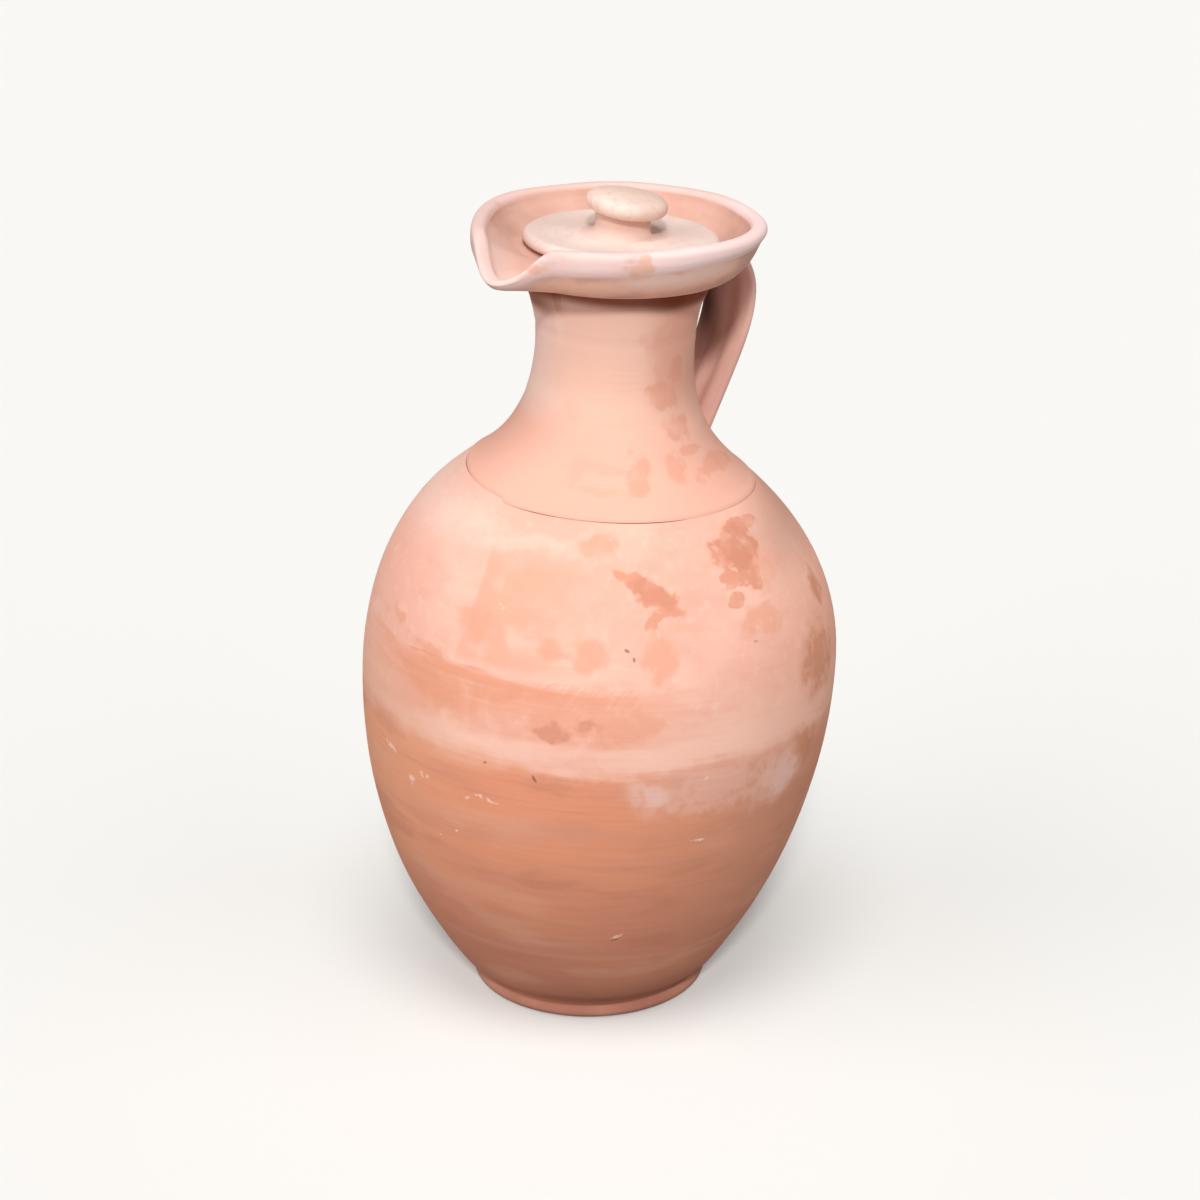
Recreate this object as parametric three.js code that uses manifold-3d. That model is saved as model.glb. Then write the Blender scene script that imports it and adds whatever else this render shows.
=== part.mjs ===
// Terracotta water jar: a thrown belly on a foot disc, a narrow neck, a pouring dish with a
// pulled spout, a strap handle and a loose lid with a pinched knob.
// Millimetres, +Z up. The origin is the centre of the flat base. The handle is on the +X side
// and the spout on the -X side. Heights are measured up the jar's own axis, before it leans.
import * as THREE from 'three';
import { mergeVertices } from 'three/addons/utils/BufferGeometryUtils.js';
import Module from 'manifold-3d';

// Luted joints: the slip between two pieces, and the laps that hold them
const SLIP = 0.3;
const WALL = 6.5;
const SHOULDER_LAP = 6;
const NECK_TENON = 5;

// Foot disc with its rolled edge
const FOOT_RADIUS = 49;
const FOOT_THICKNESS = 5.6;
const FOOT_EDGE = 2.4;

// Belly wall
const WALL_FOOT_RADIUS = 48.6;
const FOOT_FLARE = 14;
const FOOT_FLARE_DEG = 48;
const BELLY_RADIUS = 97.2;
const BELLY_HEIGHT = 142;
const BELLY_FULLNESS_BELOW = 76;
const BELLY_FULLNESS_ABOVE = 50;
const SHOULDER_RADIUS = 60;
const SHOULDER_HEIGHT = 223.1;
const SHOULDER_SLOPE_DEG = 41;
const SHOULDER_RUN = 12.5;

// Neck
const NECK_SPREAD = 13.5;
const NECK_CURL = 19.9;
const NECK_RADIUS = 31.6;
const NECK_THROAT = 28;
const NECK_TOP_RADIUS = 35.4;
const NECK_TOP_HEIGHT = 306;

// Pouring dish: its lip is deeper on the spout's side, and hangs more level than the neck
const DISH_ROOT_RADIUS = 38.5;
const DISH_BULGE = 2;
const DISH_FLOOR_RISE = 9.5;
const DISH_FLOOR_RADIUS = 41;
const LIP_RADIUS = 56.7;
const LIP_RISE = 13.5;
const LIP_BAND = 9;
const LIP_BAND_SWELL = 3;
const LIP_THICKNESS = 6.5;
const LIP_ROUND = 2.6;
const LIP_LEVEL_DEG = 1.1;

// Spout: a stretch of lip pulled out and down, steeply on one flank and slowly on the other.
// The steep flank's lip sinks a little, far along
const SPOUT_REACH = 14.5;
const SPOUT_DROP = 11.5;
const SPOUT_SLACK = 3;
const SPOUT_SLACK_DEG = 45;
const SPOUT_EDGE = 4;
const SPOUT_LONG_FLANK_DEG = 26;
const SPOUT_SHORT_FLANK_DEG = 8;
const SPOUT_DIP_DEG = 9.3;
const SPOUT_TURN_DEG = 1.3;

// Strap handle
const HANDLE_WIDTH = 25;
const HANDLE_THICKNESS = 9;
const HANDLE_REACH = 66;
const HANDLE_REACH_DROP = 16;
const HANDLE_ROOT_RADIUS = 46;
const HANDLE_FOOT_RISE = 14.5;
const HANDLE_END_SPREAD = 3.75;
const HANDLE_GROOVE = 1.1;
const HANDLE_GROOVE_COUNT = 2;

// Lid plate with its locating ring
const LID_RADIUS = 39;
const LID_THICKNESS = 6;
const LID_EDGE = 2;
const LID_BEVEL_RADIUS = 31;
const LID_BEVEL_RISE = 2;
const LID_RING_DEPTH = 7;
const LID_RING_WALL = 5;
const LID_PLAY = 1;
const LID_SHIFT = 0.5;

// Stem and pinched knob
const STEM_RADIUS = 10.8;
const STEM_ROOT_RADIUS = 14;
const STEM_ROOT_RISE = 3;
const STEM_HEIGHT = 8.5;
const KNOB_RADIUS = 16.3;
const KNOB_THICKNESS = 8;
const KNOB_EDGE = 3;
const KNOB_CANT_DEG = 9;
const KNOB_SHIFT = 0.8;

// Lean of the finished jar, towards one side of the handle
const LEAN_AZIMUTH_DEG = -45;
const BELLY_DRIFT = 4.8;
const DRIFT_START_HEIGHT = 39;
const DRIFT_END_HEIGHT = 175;
const NECK_TILT_DEG = 3.3;

// Facets
const BELLY_STEPS = 48;
const BELLY_CURVE_STEPS = 10;
const NECK_STEPS = 40;
const NECK_CURVE_STEPS = 9;
const DISH_STEPS = 72;
const SPOUT_CROWDING = 0.6;
const STRAP_STEPS = 24;
const STRAP_FACE_STEPS = 10;
const LID_STEPS = 40;
const KNOB_STEPS = 32;
const EDGE_STEPS = 3;

const { degToRad, smoothstep } = THREE.MathUtils;
const at = (radius, height) => new THREE.Vector2(radius, height);

const wasm = await Module();
wasm.setup();

// Directions of the shoulder joint: up the wall, and straight in through it
const shoulderSlope = degToRad(SHOULDER_SLOPE_DEG);
const upShoulder = at(-Math.cos(shoulderSlope), Math.sin(shoulderSlope));
const throughShoulder = at(-Math.sin(shoulderSlope), -Math.cos(shoulderSlope));
const shoulder = at(SHOULDER_RADIUS, SHOULDER_HEIGHT);
const shoulderPoint = (up, through) => shoulder.clone()
  .addScaledVector(upShoulder, up)
  .addScaledVector(throughShoulder, through);

// Heights and radii shared by pieces that seat on each other
const wallFootHeight = FOOT_THICKNESS + SLIP;
const neckWaistHeight = NECK_TOP_HEIGHT - NECK_THROAT;
const dishFloorHeight = NECK_TOP_HEIGHT + DISH_FLOOR_RISE;
const lipHeight = dishFloorHeight + LIP_RISE;
const handleReachHeight = NECK_TOP_HEIGHT - HANDLE_REACH_DROP;
const handleFootHeight = SHOULDER_HEIGHT + HANDLE_FOOT_RISE;
const boreRadius = NECK_RADIUS - WALL;
const tenonRadius = NECK_RADIUS - WALL / 2;
const tenonTop = NECK_TOP_HEIGHT + NECK_TENON;
const lidSeatHeight = dishFloorHeight + SLIP;
const lidTopHeight = lidSeatHeight + LID_THICKNESS;
const stemFootHeight = lidTopHeight + SLIP;
const stemTopHeight = stemFootHeight + STEM_HEIGHT;

// A solid of revolution about Z from a profile of (radius, height) points
function turned(profile, steps) {
  return new THREE.LatheGeometry(profile, steps).rotateX(Math.PI / 2);
}

// The same points again at the end, so that the profile closes on itself
function closed(profile) {
  return [...profile, profile[0].clone()];
}

// An arc of points about a centre, from one angle to another
function arc(centre, radius, fromDeg, toDeg, steps) {
  const points = [];
  for (let step = 0; step <= steps; step += 1) {
    const angle = degToRad(fromDeg + (toDeg - fromDeg) * step / steps);
    points.push(at(centre.x + radius * Math.cos(angle), centre.y + radius * Math.sin(angle)));
  }
  return points;
}

// The inner face of a wall, from the points of its outer face taken upwards
function inset(outer, wall) {
  return outer.map((point, index) => {
    const before = outer[Math.max(index - 1, 0)];
    const after = outer[Math.min(index + 1, outer.length - 1)];
    const along = after.clone().sub(before).normalize();
    return at(point.x - wall * along.y, point.y + wall * along.x);
  });
}

// A solid from rings of equal length, joined in order and closed by a flat end at each side
function lofted(rings) {
  const size = rings[0].length;
  const positions = rings.flat().flatMap((point) => point.toArray());
  const triangles = [];
  for (let ring = 0; ring < rings.length - 1; ring += 1) {
    for (let side = 0; side < size; side += 1) {
      const here = ring * size + side;
      const next = ring * size + (side + 1) % size;
      triangles.push(here, next, next + size, here, next + size, here + size);
    }
  }
  const ends = [[rings[0], 0, true], [rings.at(-1), (rings.length - 1) * size, false]];
  for (const [ring, first, flipped] of ends) {
    const centre = ring.reduce((sum, point) => sum.add(point), new THREE.Vector3());
    const hub = positions.length / 3;
    positions.push(...centre.divideScalar(size).toArray());
    for (let side = 0; side < size; side += 1) {
      const pair = [first + side, first + (side + 1) % size];
      triangles.push(hub, ...(flipped ? pair.reverse() : pair));
    }
  }
  const geometry = new THREE.BufferGeometry();
  geometry.setAttribute('position', new THREE.Float32BufferAttribute(positions, 3));
  geometry.setIndex(triangles);
  return geometry;
}

// Booleans
function solid(geometry) {
  const bare = geometry.clone();
  bare.deleteAttribute('normal');
  bare.deleteAttribute('uv');
  const merged = mergeVertices(bare);
  return new wasm.Manifold(new wasm.Mesh({
    numProp: 3,
    vertProperties: new Float32Array(merged.attributes.position.array),
    triVerts: new Uint32Array(merged.index.array),
  }));
}

function geometryOf(manifold) {
  const mesh = manifold.getMesh();
  const geometry = new THREE.BufferGeometry();
  geometry.setAttribute('position', new THREE.Float32BufferAttribute(mesh.vertProperties, 3));
  geometry.setIndex([...mesh.triVerts]);
  return geometry;
}

// Lean: the belly drifts sideways as it rises, and everything above the joint tilts as one
const lean = degToRad(LEAN_AZIMUTH_DEG);
const leanDirection = new THREE.Vector3(Math.cos(lean), Math.sin(lean), 0);
const tiltAxis = new THREE.Vector3(-Math.sin(lean), Math.cos(lean), 0);
const neckTilt = degToRad(NECK_TILT_DEG);
const tiltTop = shoulderPoint(0, WALL).y;

function spine(height) {
  const drift = BELLY_DRIFT * smoothstep(height, DRIFT_START_HEIGHT, DRIFT_END_HEIGHT);
  const span = tiltTop - BELLY_HEIGHT;
  const share = THREE.MathUtils.clamp((height - BELLY_HEIGHT) / span, 0, 1);
  const sway = neckTilt * span * (share ** 3 - share ** 4 / 2);
  return leanDirection.clone().multiplyScalar(drift + sway).setZ(height);
}

function leaning(geometry) {
  const position = geometry.attributes.position;
  const point = new THREE.Vector3();
  for (let index = 0; index < position.count; index += 1) {
    point.fromBufferAttribute(position, index);
    const rise = Math.min(point.z, tiltTop);
    point.z -= rise;
    point.applyAxisAngle(tiltAxis, neckTilt * smoothstep(rise, BELLY_HEIGHT, tiltTop));
    point.add(spine(rise));
    position.setXYZ(index, point.x, point.y, point.z);
  }
  return geometry;
}

// Foot disc
function footDisc() {
  const edgeCentre = at(FOOT_RADIUS - FOOT_EDGE, FOOT_EDGE);
  const upperCentre = at(FOOT_RADIUS - FOOT_EDGE, FOOT_THICKNESS - FOOT_EDGE);
  return turned([
    at(0, 0),
    ...arc(edgeCentre, FOOT_EDGE, -90, 0, EDGE_STEPS),
    ...arc(upperCentre, FOOT_EDGE, 0, 90, EDGE_STEPS),
    at(0, FOOT_THICKNESS),
  ], BELLY_STEPS);
}

// Belly wall
function bellyWall() {
  const flare = degToRad(FOOT_FLARE_DEG);
  const foot = at(WALL_FOOT_RADIUS, wallFootHeight);
  const widest = at(BELLY_RADIUS, BELLY_HEIGHT);
  const below = new THREE.CubicBezierCurve(
    foot,
    at(foot.x + FOOT_FLARE * Math.cos(flare), foot.y + FOOT_FLARE * Math.sin(flare)),
    at(BELLY_RADIUS, BELLY_HEIGHT - BELLY_FULLNESS_BELOW),
    widest,
  ).getPoints(BELLY_CURVE_STEPS);
  const above = new THREE.CubicBezierCurve(
    widest,
    at(BELLY_RADIUS, BELLY_HEIGHT + BELLY_FULLNESS_ABOVE),
    shoulderPoint(-SHOULDER_RUN, 0),
    shoulder,
  ).getPoints(BELLY_CURVE_STEPS);
  const outer = [...below, ...above.slice(1)];
  const inner = inset(outer, WALL).slice(1, -1);
  const innerFoot = at(foot.x - WALL / Math.sin(flare), wallFootHeight);
  return leaning(turned(closed([
    ...outer,
    shoulderPoint(0, WALL / 2),
    shoulderPoint(SHOULDER_LAP, WALL / 2),
    shoulderPoint(SHOULDER_LAP, WALL),
    ...inner.reverse(),
    innerFoot,
  ]), BELLY_STEPS));
}

// Neck
function neckOuter() {
  const waist = at(NECK_RADIUS, neckWaistHeight);
  const sweep = new THREE.CubicBezierCurve(
    shoulderPoint(SLIP, 0),
    shoulderPoint(NECK_SPREAD, 0),
    at(NECK_RADIUS, SHOULDER_HEIGHT + NECK_CURL),
    waist,
  ).getPoints(NECK_CURVE_STEPS);
  const throat = new THREE.QuadraticBezierCurve(
    waist,
    at(NECK_RADIUS, (neckWaistHeight + NECK_TOP_HEIGHT) / 2),
    at(NECK_TOP_RADIUS, NECK_TOP_HEIGHT),
  ).getPoints(EDGE_STEPS);
  return [...sweep, ...throat.slice(1)];
}

function neckCollar() {
  const outer = neckOuter();
  const pastLap = (point) => point.clone().sub(shoulder).dot(upShoulder) > SHOULDER_LAP + WALL / 2;
  const inner = inset(outer, WALL).slice(0, -1).filter(pastLap);
  return turned(closed([
    ...outer,
    at(tenonRadius, NECK_TOP_HEIGHT),
    at(tenonRadius, tenonTop),
    at(boreRadius, tenonTop),
    ...inner.reverse(),
    shoulderPoint(SHOULDER_LAP + SLIP, WALL),
    shoulderPoint(SHOULDER_LAP + SLIP, WALL / 2 - SLIP),
    shoulderPoint(SLIP, WALL / 2 - SLIP),
  ]), NECK_STEPS);
}

// Pouring dish: a section swept round the axis, with a lip that changes as it goes
const dishBottom = NECK_TOP_HEIGHT + SLIP;

function dishSection({ radius, height, band, bulge }) {
  const socketRadius = tenonRadius + SLIP;
  const socketTop = tenonTop + SLIP;
  const round = Math.min(LIP_ROUND, band / 2);
  const root = at(DISH_ROOT_RADIUS, dishBottom);
  const crease = at(radius - round / 2, height - band);
  const slant = crease.clone().sub(root);
  const outwards = at(slant.y, -slant.x).setLength(bulge);
  const lipInner = at(radius - LIP_THICKNESS, height - round);
  const innerWall = new THREE.QuadraticBezierCurve(
    lipInner,
    at(DISH_FLOOR_RADIUS + LIP_ROUND, dishFloorHeight),
    at(DISH_FLOOR_RADIUS, dishFloorHeight),
  ).getPoints(EDGE_STEPS + 1);
  return [
    at(socketRadius, dishBottom),
    root,
    root.clone().lerp(crease, 0.5).add(outwards),
    crease,
    at(radius, height - band + round),
    ...arc(at(radius - round, height - round), round, 0, 90, EDGE_STEPS),
    ...arc(at(lipInner.x + round, height - round), round, 90, 135, 1),
    ...innerWall,
    at(boreRadius + LIP_ROUND / 2, dishFloorHeight),
    at(boreRadius, dishFloorHeight - LIP_ROUND / 2),
    at(boreRadius, socketTop),
    at(socketRadius, socketTop),
  ];
}

// The lip at one angle about the axis; the spout is near half a turn
function lipAt(angle) {
  const fromSpout = angle - Math.PI - degToRad(SPOUT_TURN_DEG);
  const flank = degToRad(fromSpout < 0 ? SPOUT_LONG_FLANK_DEG : SPOUT_SHORT_FLANK_DEG);
  const pull = Math.exp(-((fromSpout / flank) ** 2));
  const dip = Math.exp(-(Math.abs(fromSpout / degToRad(SPOUT_DIP_DEG)) ** 3));
  const slackReach = degToRad(fromSpout < 0 ? SPOUT_DIP_DEG : SPOUT_SLACK_DEG);
  const slack = Math.exp(-((fromSpout / slackReach) ** 2));
  const level = LIP_RADIUS * Math.cos(angle - lean) * Math.tan(degToRad(LIP_LEVEL_DEG));
  const band = LIP_BAND + LIP_BAND_SWELL * Math.cos(fromSpout);
  return {
    radius: LIP_RADIUS + SPOUT_REACH * pull,
    height: lipHeight + level - SPOUT_DROP * dip - SPOUT_SLACK * slack,
    band: THREE.MathUtils.lerp(band, SPOUT_EDGE, dip),
    bulge: DISH_BULGE * (1 - pull),
  };
}

// The dish, larger by a clearance all round where it is used to cut another piece
function pouringDish(clearance = 0) {
  const rings = [];
  for (let step = 0; step < DISH_STEPS; step += 1) {
    const turn = 2 * Math.PI * step / DISH_STEPS;
    const angle = turn + SPOUT_CROWDING * Math.sin(turn);
    const section = dishSection(lipAt(angle));
    const ring = inset([section.at(-1), ...section, section[0]], -clearance).slice(1, -1);
    rings.push(ring.map(({ x, y }) => (
      new THREE.Vector3(x * Math.cos(angle), x * Math.sin(angle), y)
    )));
  }
  return ringClosed(rings);
}

// A solid from rings of equal length that run round to the first one again
function ringClosed(rings) {
  const size = rings[0].length;
  const triangles = [];
  rings.forEach((ring, step) => {
    const across = ((step + 1) % rings.length - step) * size;
    ring.forEach((point, side) => {
      const here = step * size + side;
      const next = step * size + (side + 1) % size;
      triangles.push(here, here + across, next + across, here, next + across, next);
    });
  });
  const positions = rings.flat().flatMap((point) => point.toArray());
  const geometry = new THREE.BufferGeometry();
  geometry.setAttribute('position', new THREE.Float32BufferAttribute(positions, 3));
  geometry.setIndex(triangles);
  return geometry;
}

// Strap handle: a grooved strap along a curve that starts and ends inside the dish and the neck,
// and is cut back to them
function handlePath() {
  const inXZ = (radius, height) => new THREE.Vector3(radius, 0, height);
  const rootHeight = (dishBottom + dishFloorHeight) / 2;
  const footRadius = neckRadiusAt(handleFootHeight);
  const drop = handleReachHeight - handleFootHeight;
  const path = new THREE.CurvePath();
  path.add(new THREE.LineCurve3(
    inXZ(tenonRadius, rootHeight),
    inXZ(HANDLE_ROOT_RADIUS, rootHeight),
  ));
  path.add(new THREE.CubicBezierCurve3(
    inXZ(HANDLE_ROOT_RADIUS, rootHeight),
    inXZ((HANDLE_ROOT_RADIUS + HANDLE_REACH) / 2, rootHeight),
    inXZ(HANDLE_REACH, (rootHeight + handleReachHeight) / 2),
    inXZ(HANDLE_REACH, handleReachHeight),
  ));
  path.add(new THREE.CubicBezierCurve3(
    inXZ(HANDLE_REACH, handleReachHeight),
    inXZ(HANDLE_REACH, handleReachHeight - drop / 3),
    inXZ((HANDLE_REACH + footRadius) / 2, handleFootHeight + drop / 3),
    inXZ(footRadius, handleFootHeight),
  ));
  const foot = path.getPoint(1);
  const inward = path.getTangent(1).multiplyScalar(HANDLE_THICKNESS);
  path.add(new THREE.LineCurve3(foot, foot.clone().add(inward)));
  return path;
}

function neckRadiusAt(height) {
  const outer = neckOuter();
  const above = outer.findIndex((point) => point.y > height);
  const [low, high] = [outer[above - 1], outer[above]];
  return THREE.MathUtils.mapLinear(height, low.y, high.y, low.x, high.x);
}

// The strap's section: across it in shares of its width, through it in lengths
function strapSection() {
  const points = [];
  for (const face of [1, -1]) {
    for (let side = 0; side < STRAP_FACE_STEPS; side += 1) {
      const across = face * (1 - 2 * (side + 0.5) / STRAP_FACE_STEPS);
      const rounded = Math.sqrt(1 - Math.abs(across) ** 5);
      const groove = (1 - Math.cos(Math.PI * (HANDLE_GROOVE_COUNT + 1) * (across + 1))) / 2;
      const half = HANDLE_THICKNESS / 2 * rounded - HANDLE_GROOVE * (1 - groove) * rounded;
      points.push(at(across / 2, face * half));
    }
  }
  return points;
}

function strapHandle() {
  const path = handlePath();
  const section = strapSection();
  const sideways = new THREE.Vector3(0, 1, 0);
  const rings = [];
  for (let step = 0; step <= STRAP_STEPS; step += 1) {
    const share = step / STRAP_STEPS;
    const centre = path.getPointAt(share);
    const outward = path.getTangentAt(share).cross(sideways);
    const width = HANDLE_WIDTH + HANDLE_END_SPREAD * Math.abs(2 * share - 1) ** 3;
    rings.push(section.map(({ x, y }) => centre.clone()
      .addScaledVector(sideways, x * width)
      .addScaledVector(outward, y)));
  }
  return geometryOf(solid(lofted(rings))
    .subtract(solid(neckFilled()))
    .subtract(solid(dishFilling()))
    .subtract(solid(pouringDish(SLIP))));
}

// The neck as one filled solid, larger by the slip
function neckFilled() {
  const grown = inset(neckOuter(), -SLIP);
  return turned([at(0, SHOULDER_HEIGHT), ...grown, at(0, NECK_TOP_HEIGHT)], DISH_STEPS);
}

// The space inside the dish, down through its floor
function dishFilling() {
  const rim = LIP_RADIUS - LIP_THICKNESS;
  return turned([
    at(0, NECK_TOP_HEIGHT),
    at(tenonRadius, NECK_TOP_HEIGHT),
    at(DISH_FLOOR_RADIUS, dishFloorHeight),
    at(rim, lipHeight),
    at(0, lipHeight),
  ], DISH_STEPS);
}

// Lid plate with its locating ring
function lidPlate() {
  const ringRadius = boreRadius - LID_PLAY;
  const ringFoot = lidSeatHeight - LID_RING_DEPTH;
  const edge = at(LID_RADIUS - LID_EDGE, lidTopHeight - LID_EDGE);
  return turned([
    at(0, lidSeatHeight),
    at(ringRadius - LID_RING_WALL, lidSeatHeight),
    at(ringRadius - LID_RING_WALL, ringFoot),
    at(ringRadius - LID_PLAY, ringFoot),
    at(ringRadius, ringFoot + LID_PLAY),
    at(ringRadius, lidSeatHeight),
    at(LID_BEVEL_RADIUS, lidSeatHeight),
    at(LID_RADIUS - LID_EDGE / 2, lidSeatHeight + LID_BEVEL_RISE),
    ...arc(edge, LID_EDGE, 0, 90, EDGE_STEPS),
    at(0, lidTopHeight),
  ], LID_STEPS);
}

// Stem: its top is cut slanting, so that the knob sits canted on it
const knobCant = degToRad(KNOB_CANT_DEG);

function lidStem() {
  const geometry = turned([
    at(0, stemFootHeight),
    at(STEM_ROOT_RADIUS, stemFootHeight),
    ...new THREE.QuadraticBezierCurve(
      at(STEM_ROOT_RADIUS, stemFootHeight),
      at(STEM_RADIUS, stemFootHeight),
      at(STEM_RADIUS, stemFootHeight + STEM_ROOT_RISE),
    ).getPoints(EDGE_STEPS).slice(1),
    at(STEM_RADIUS, stemTopHeight),
    at(0, stemTopHeight),
  ], KNOB_STEPS);
  const position = geometry.attributes.position;
  for (let index = 0; index < position.count; index += 1) {
    const along = position.getX(index) * leanDirection.x + position.getY(index) * leanDirection.y;
    const rise = smoothstep(position.getZ(index), stemFootHeight + STEM_ROOT_RISE, stemTopHeight);
    position.setZ(index, position.getZ(index) - along * rise * Math.tan(knobCant));
  }
  return geometry;
}

// Knob: a pellet of clay pressed flat, with a domed top
function lidKnob() {
  const lower = at(KNOB_RADIUS - KNOB_EDGE, KNOB_EDGE);
  const dome = new THREE.QuadraticBezierCurve(
    at(KNOB_RADIUS, KNOB_EDGE),
    at(KNOB_RADIUS - KNOB_EDGE / 2, KNOB_THICKNESS),
    at(0, KNOB_THICKNESS),
  ).getPoints(2 * EDGE_STEPS);
  return turned([at(0, 0), ...arc(lower, KNOB_EDGE, -90, 0, EDGE_STEPS), ...dome.slice(1)], KNOB_STEPS);
}

// Materials: one fired clay, with the bloom and the wear that each piece shows
function clay(colour, roughness) {
  return new THREE.MeshStandardMaterial({ color: colour, roughness, metalness: 0 });
}

const footClay = clay('#b57a63', 0.92);
const bellyClay = clay('#dfa283', 0.9);
const neckClay = clay('#eab79f', 0.9);
const dishClay = clay('#edcabd', 0.88);
const handleClay = clay('#d9a48d', 0.9);
const lidClay = clay('#e6cdbf', 0.92);

function piece(name, geometry, material) {
  const mesh = new THREE.Mesh(geometry, material);
  mesh.name = name;
  return mesh;
}

// Assembly
const jar = new THREE.Group();
jar.add(piece('foot_disc', footDisc(), footClay));
jar.add(piece('belly_wall', bellyWall(), bellyClay));

const tilted = new THREE.Group();
tilted.position.copy(spine(tiltTop));
tilted.quaternion.setFromAxisAngle(tiltAxis, neckTilt);
jar.add(tilted);

const aboveJoint = new THREE.Group();
aboveJoint.position.z = -tiltTop;
tilted.add(aboveJoint);
aboveJoint.add(piece('neck_collar', neckCollar(), neckClay));
aboveJoint.add(piece('pouring_dish', pouringDish(), dishClay));
aboveJoint.add(piece('strap_handle', strapHandle(), handleClay));

const lid = new THREE.Group();
lid.position.copy(leanDirection).multiplyScalar(LID_SHIFT);
aboveJoint.add(lid);
lid.add(piece('lid_plate', lidPlate(), lidClay));
lid.add(piece('lid_stem', lidStem(), lidClay));

const canted = new THREE.Group();
canted.position.z = stemTopHeight;
canted.quaternion.setFromAxisAngle(tiltAxis, knobCant);
lid.add(canted);

const knob = piece('lid_knob', lidKnob(), lidClay);
knob.position.copy(leanDirection).multiplyScalar(KNOB_SHIFT).setZ(SLIP);
canted.add(knob);

export default jar;
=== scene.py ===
# %% [markdown]
# A terracotta water jar, piece by piece.
# The real jar was thrown on a wheel in two parts, a round belly and a narrow neck, which were
# luted together at the shoulder. A dish with a pulled spout and a strap handle were added before
# the firing, and a loose lid with a pinched knob closes it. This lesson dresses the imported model:
# each clay piece is modelled again with a finer surface, in the same frame, and painted with nodes.

# %% Load the frame
import math

import bpy
from mathutils import Matrix, Vector
from mathutils.geometry import interpolate_bezier


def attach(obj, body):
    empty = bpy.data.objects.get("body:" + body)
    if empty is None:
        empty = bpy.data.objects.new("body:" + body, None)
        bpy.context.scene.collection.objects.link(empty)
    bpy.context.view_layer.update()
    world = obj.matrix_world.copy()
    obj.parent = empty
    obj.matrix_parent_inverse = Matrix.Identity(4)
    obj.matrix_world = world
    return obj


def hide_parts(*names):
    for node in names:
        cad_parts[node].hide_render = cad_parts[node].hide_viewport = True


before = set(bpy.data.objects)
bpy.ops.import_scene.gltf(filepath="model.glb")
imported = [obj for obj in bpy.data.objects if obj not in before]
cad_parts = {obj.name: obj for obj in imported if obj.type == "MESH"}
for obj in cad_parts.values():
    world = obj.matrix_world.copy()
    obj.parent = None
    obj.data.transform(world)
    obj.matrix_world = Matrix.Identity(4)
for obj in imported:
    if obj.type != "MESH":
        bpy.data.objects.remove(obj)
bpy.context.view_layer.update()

print("CAD nodes:", sorted(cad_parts))

# %% [markdown]
# The photograph looks down on the jar from the spout's side with a long lens, so that upright
# lines stay nearly parallel. A 90 mm lens on a 36 mm sensor gives that, and the height, distance
# and pitch were found by laying the solids over the photograph until the outlines agreed.

# %% Camera
MM = 0.001
CAMERA_LENS = 90
CAMERA_HEIGHT = 0.6135
CAMERA_DISTANCE = 1.143
CAMERA_ASIDE = 0.00465
CAMERA_PITCH_DEG = 21.31
FRONT_TURN_DEG = -45

VIEW = Vector((1, 1, 0)).normalized()
ASIDE = Vector((1, -1, 0)).normalized()
UP = Vector((0, 0, 1))

bpy.ops.object.camera_add(
    location=ASIDE * CAMERA_ASIDE - VIEW * CAMERA_DISTANCE + UP * CAMERA_HEIGHT,
    rotation=(math.radians(90 - CAMERA_PITCH_DEG), 0, math.radians(FRONT_TURN_DEG)),
)
camera = bpy.context.object
camera.data.lens = CAMERA_LENS
bpy.context.scene.camera = camera
print("camera at", tuple(round(value, 3) for value in camera.location))

# %% [markdown]
# One small function adds a shader node, sets its properties and fills or links its sockets.
# Colours are written as they look on a screen, in hex, and one function turns them to the
# linear values that Blender mixes.


# %% Helpers for materials
def add(tree, kind, sockets=None, **settings):
    """Adds one node; a socket's value is a number, a colour, a vector or another node's output."""
    made = tree.nodes.new("ShaderNode" + kind)
    for name, value in settings.items():
        setattr(made, name, value)
    for socket, value in (sockets or {}).items():
        if isinstance(value, bpy.types.NodeSocket):
            tree.links.new(value, made.inputs[socket])
        else:
            made.inputs[socket].default_value = value
    return made


def shade(code):
    """A linear colour from an sRGB hex code."""
    parts = [int(code[place:place + 2], 16) / 255 for place in (1, 3, 5)]
    linear = []
    for part in parts:
        linear.append(part / 12.92 if part <= 0.04045 else ((part + 0.055) / 1.055) ** 2.4)
    return (*linear, 1)


print("terracotta as linear:", [round(part, 3) for part in shade("#d08f75")])

# %% [markdown]
# The jar stands on a plain, nearly white table under soft light. The floor is a large sheet whose
# own colour is pale. Seen by the camera it also glows a little, so that it reads as the white of
# the photograph without more light on the jar, and it still keeps the jar's shadow. For light that
# bounces up to the jar the sheet is dimmer, so that the lower half of the belly stays in shade.

# %% Floor
BACKGROUND = shade("#faf8f4")
FLOOR_PALE, FLOOR_DIM = shade("#dcdbd8"), shade("#979693")
FLOOR_SIZE = 14
FLOOR_GLOW = 0.2


def looked_at(tree):
    """1 where the camera looks, also in a gloss or through glass, and 0 for bounced light."""
    path = add(tree, "LightPath")
    straight = {0: path.outputs["Is Camera Ray"], 1: path.outputs["Is Glossy Ray"]}
    glossy = add(tree, "Math", straight, operation="ADD").outputs[0]
    clear = {0: glossy, 1: path.outputs["Is Transmission Ray"]}
    return add(tree, "Math", clear, operation="ADD").outputs[0]


bpy.ops.object.select_all(action="DESELECT")
bpy.ops.mesh.primitive_plane_add(size=FLOOR_SIZE)
floor = bpy.context.object
floor.name = "floor"

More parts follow.
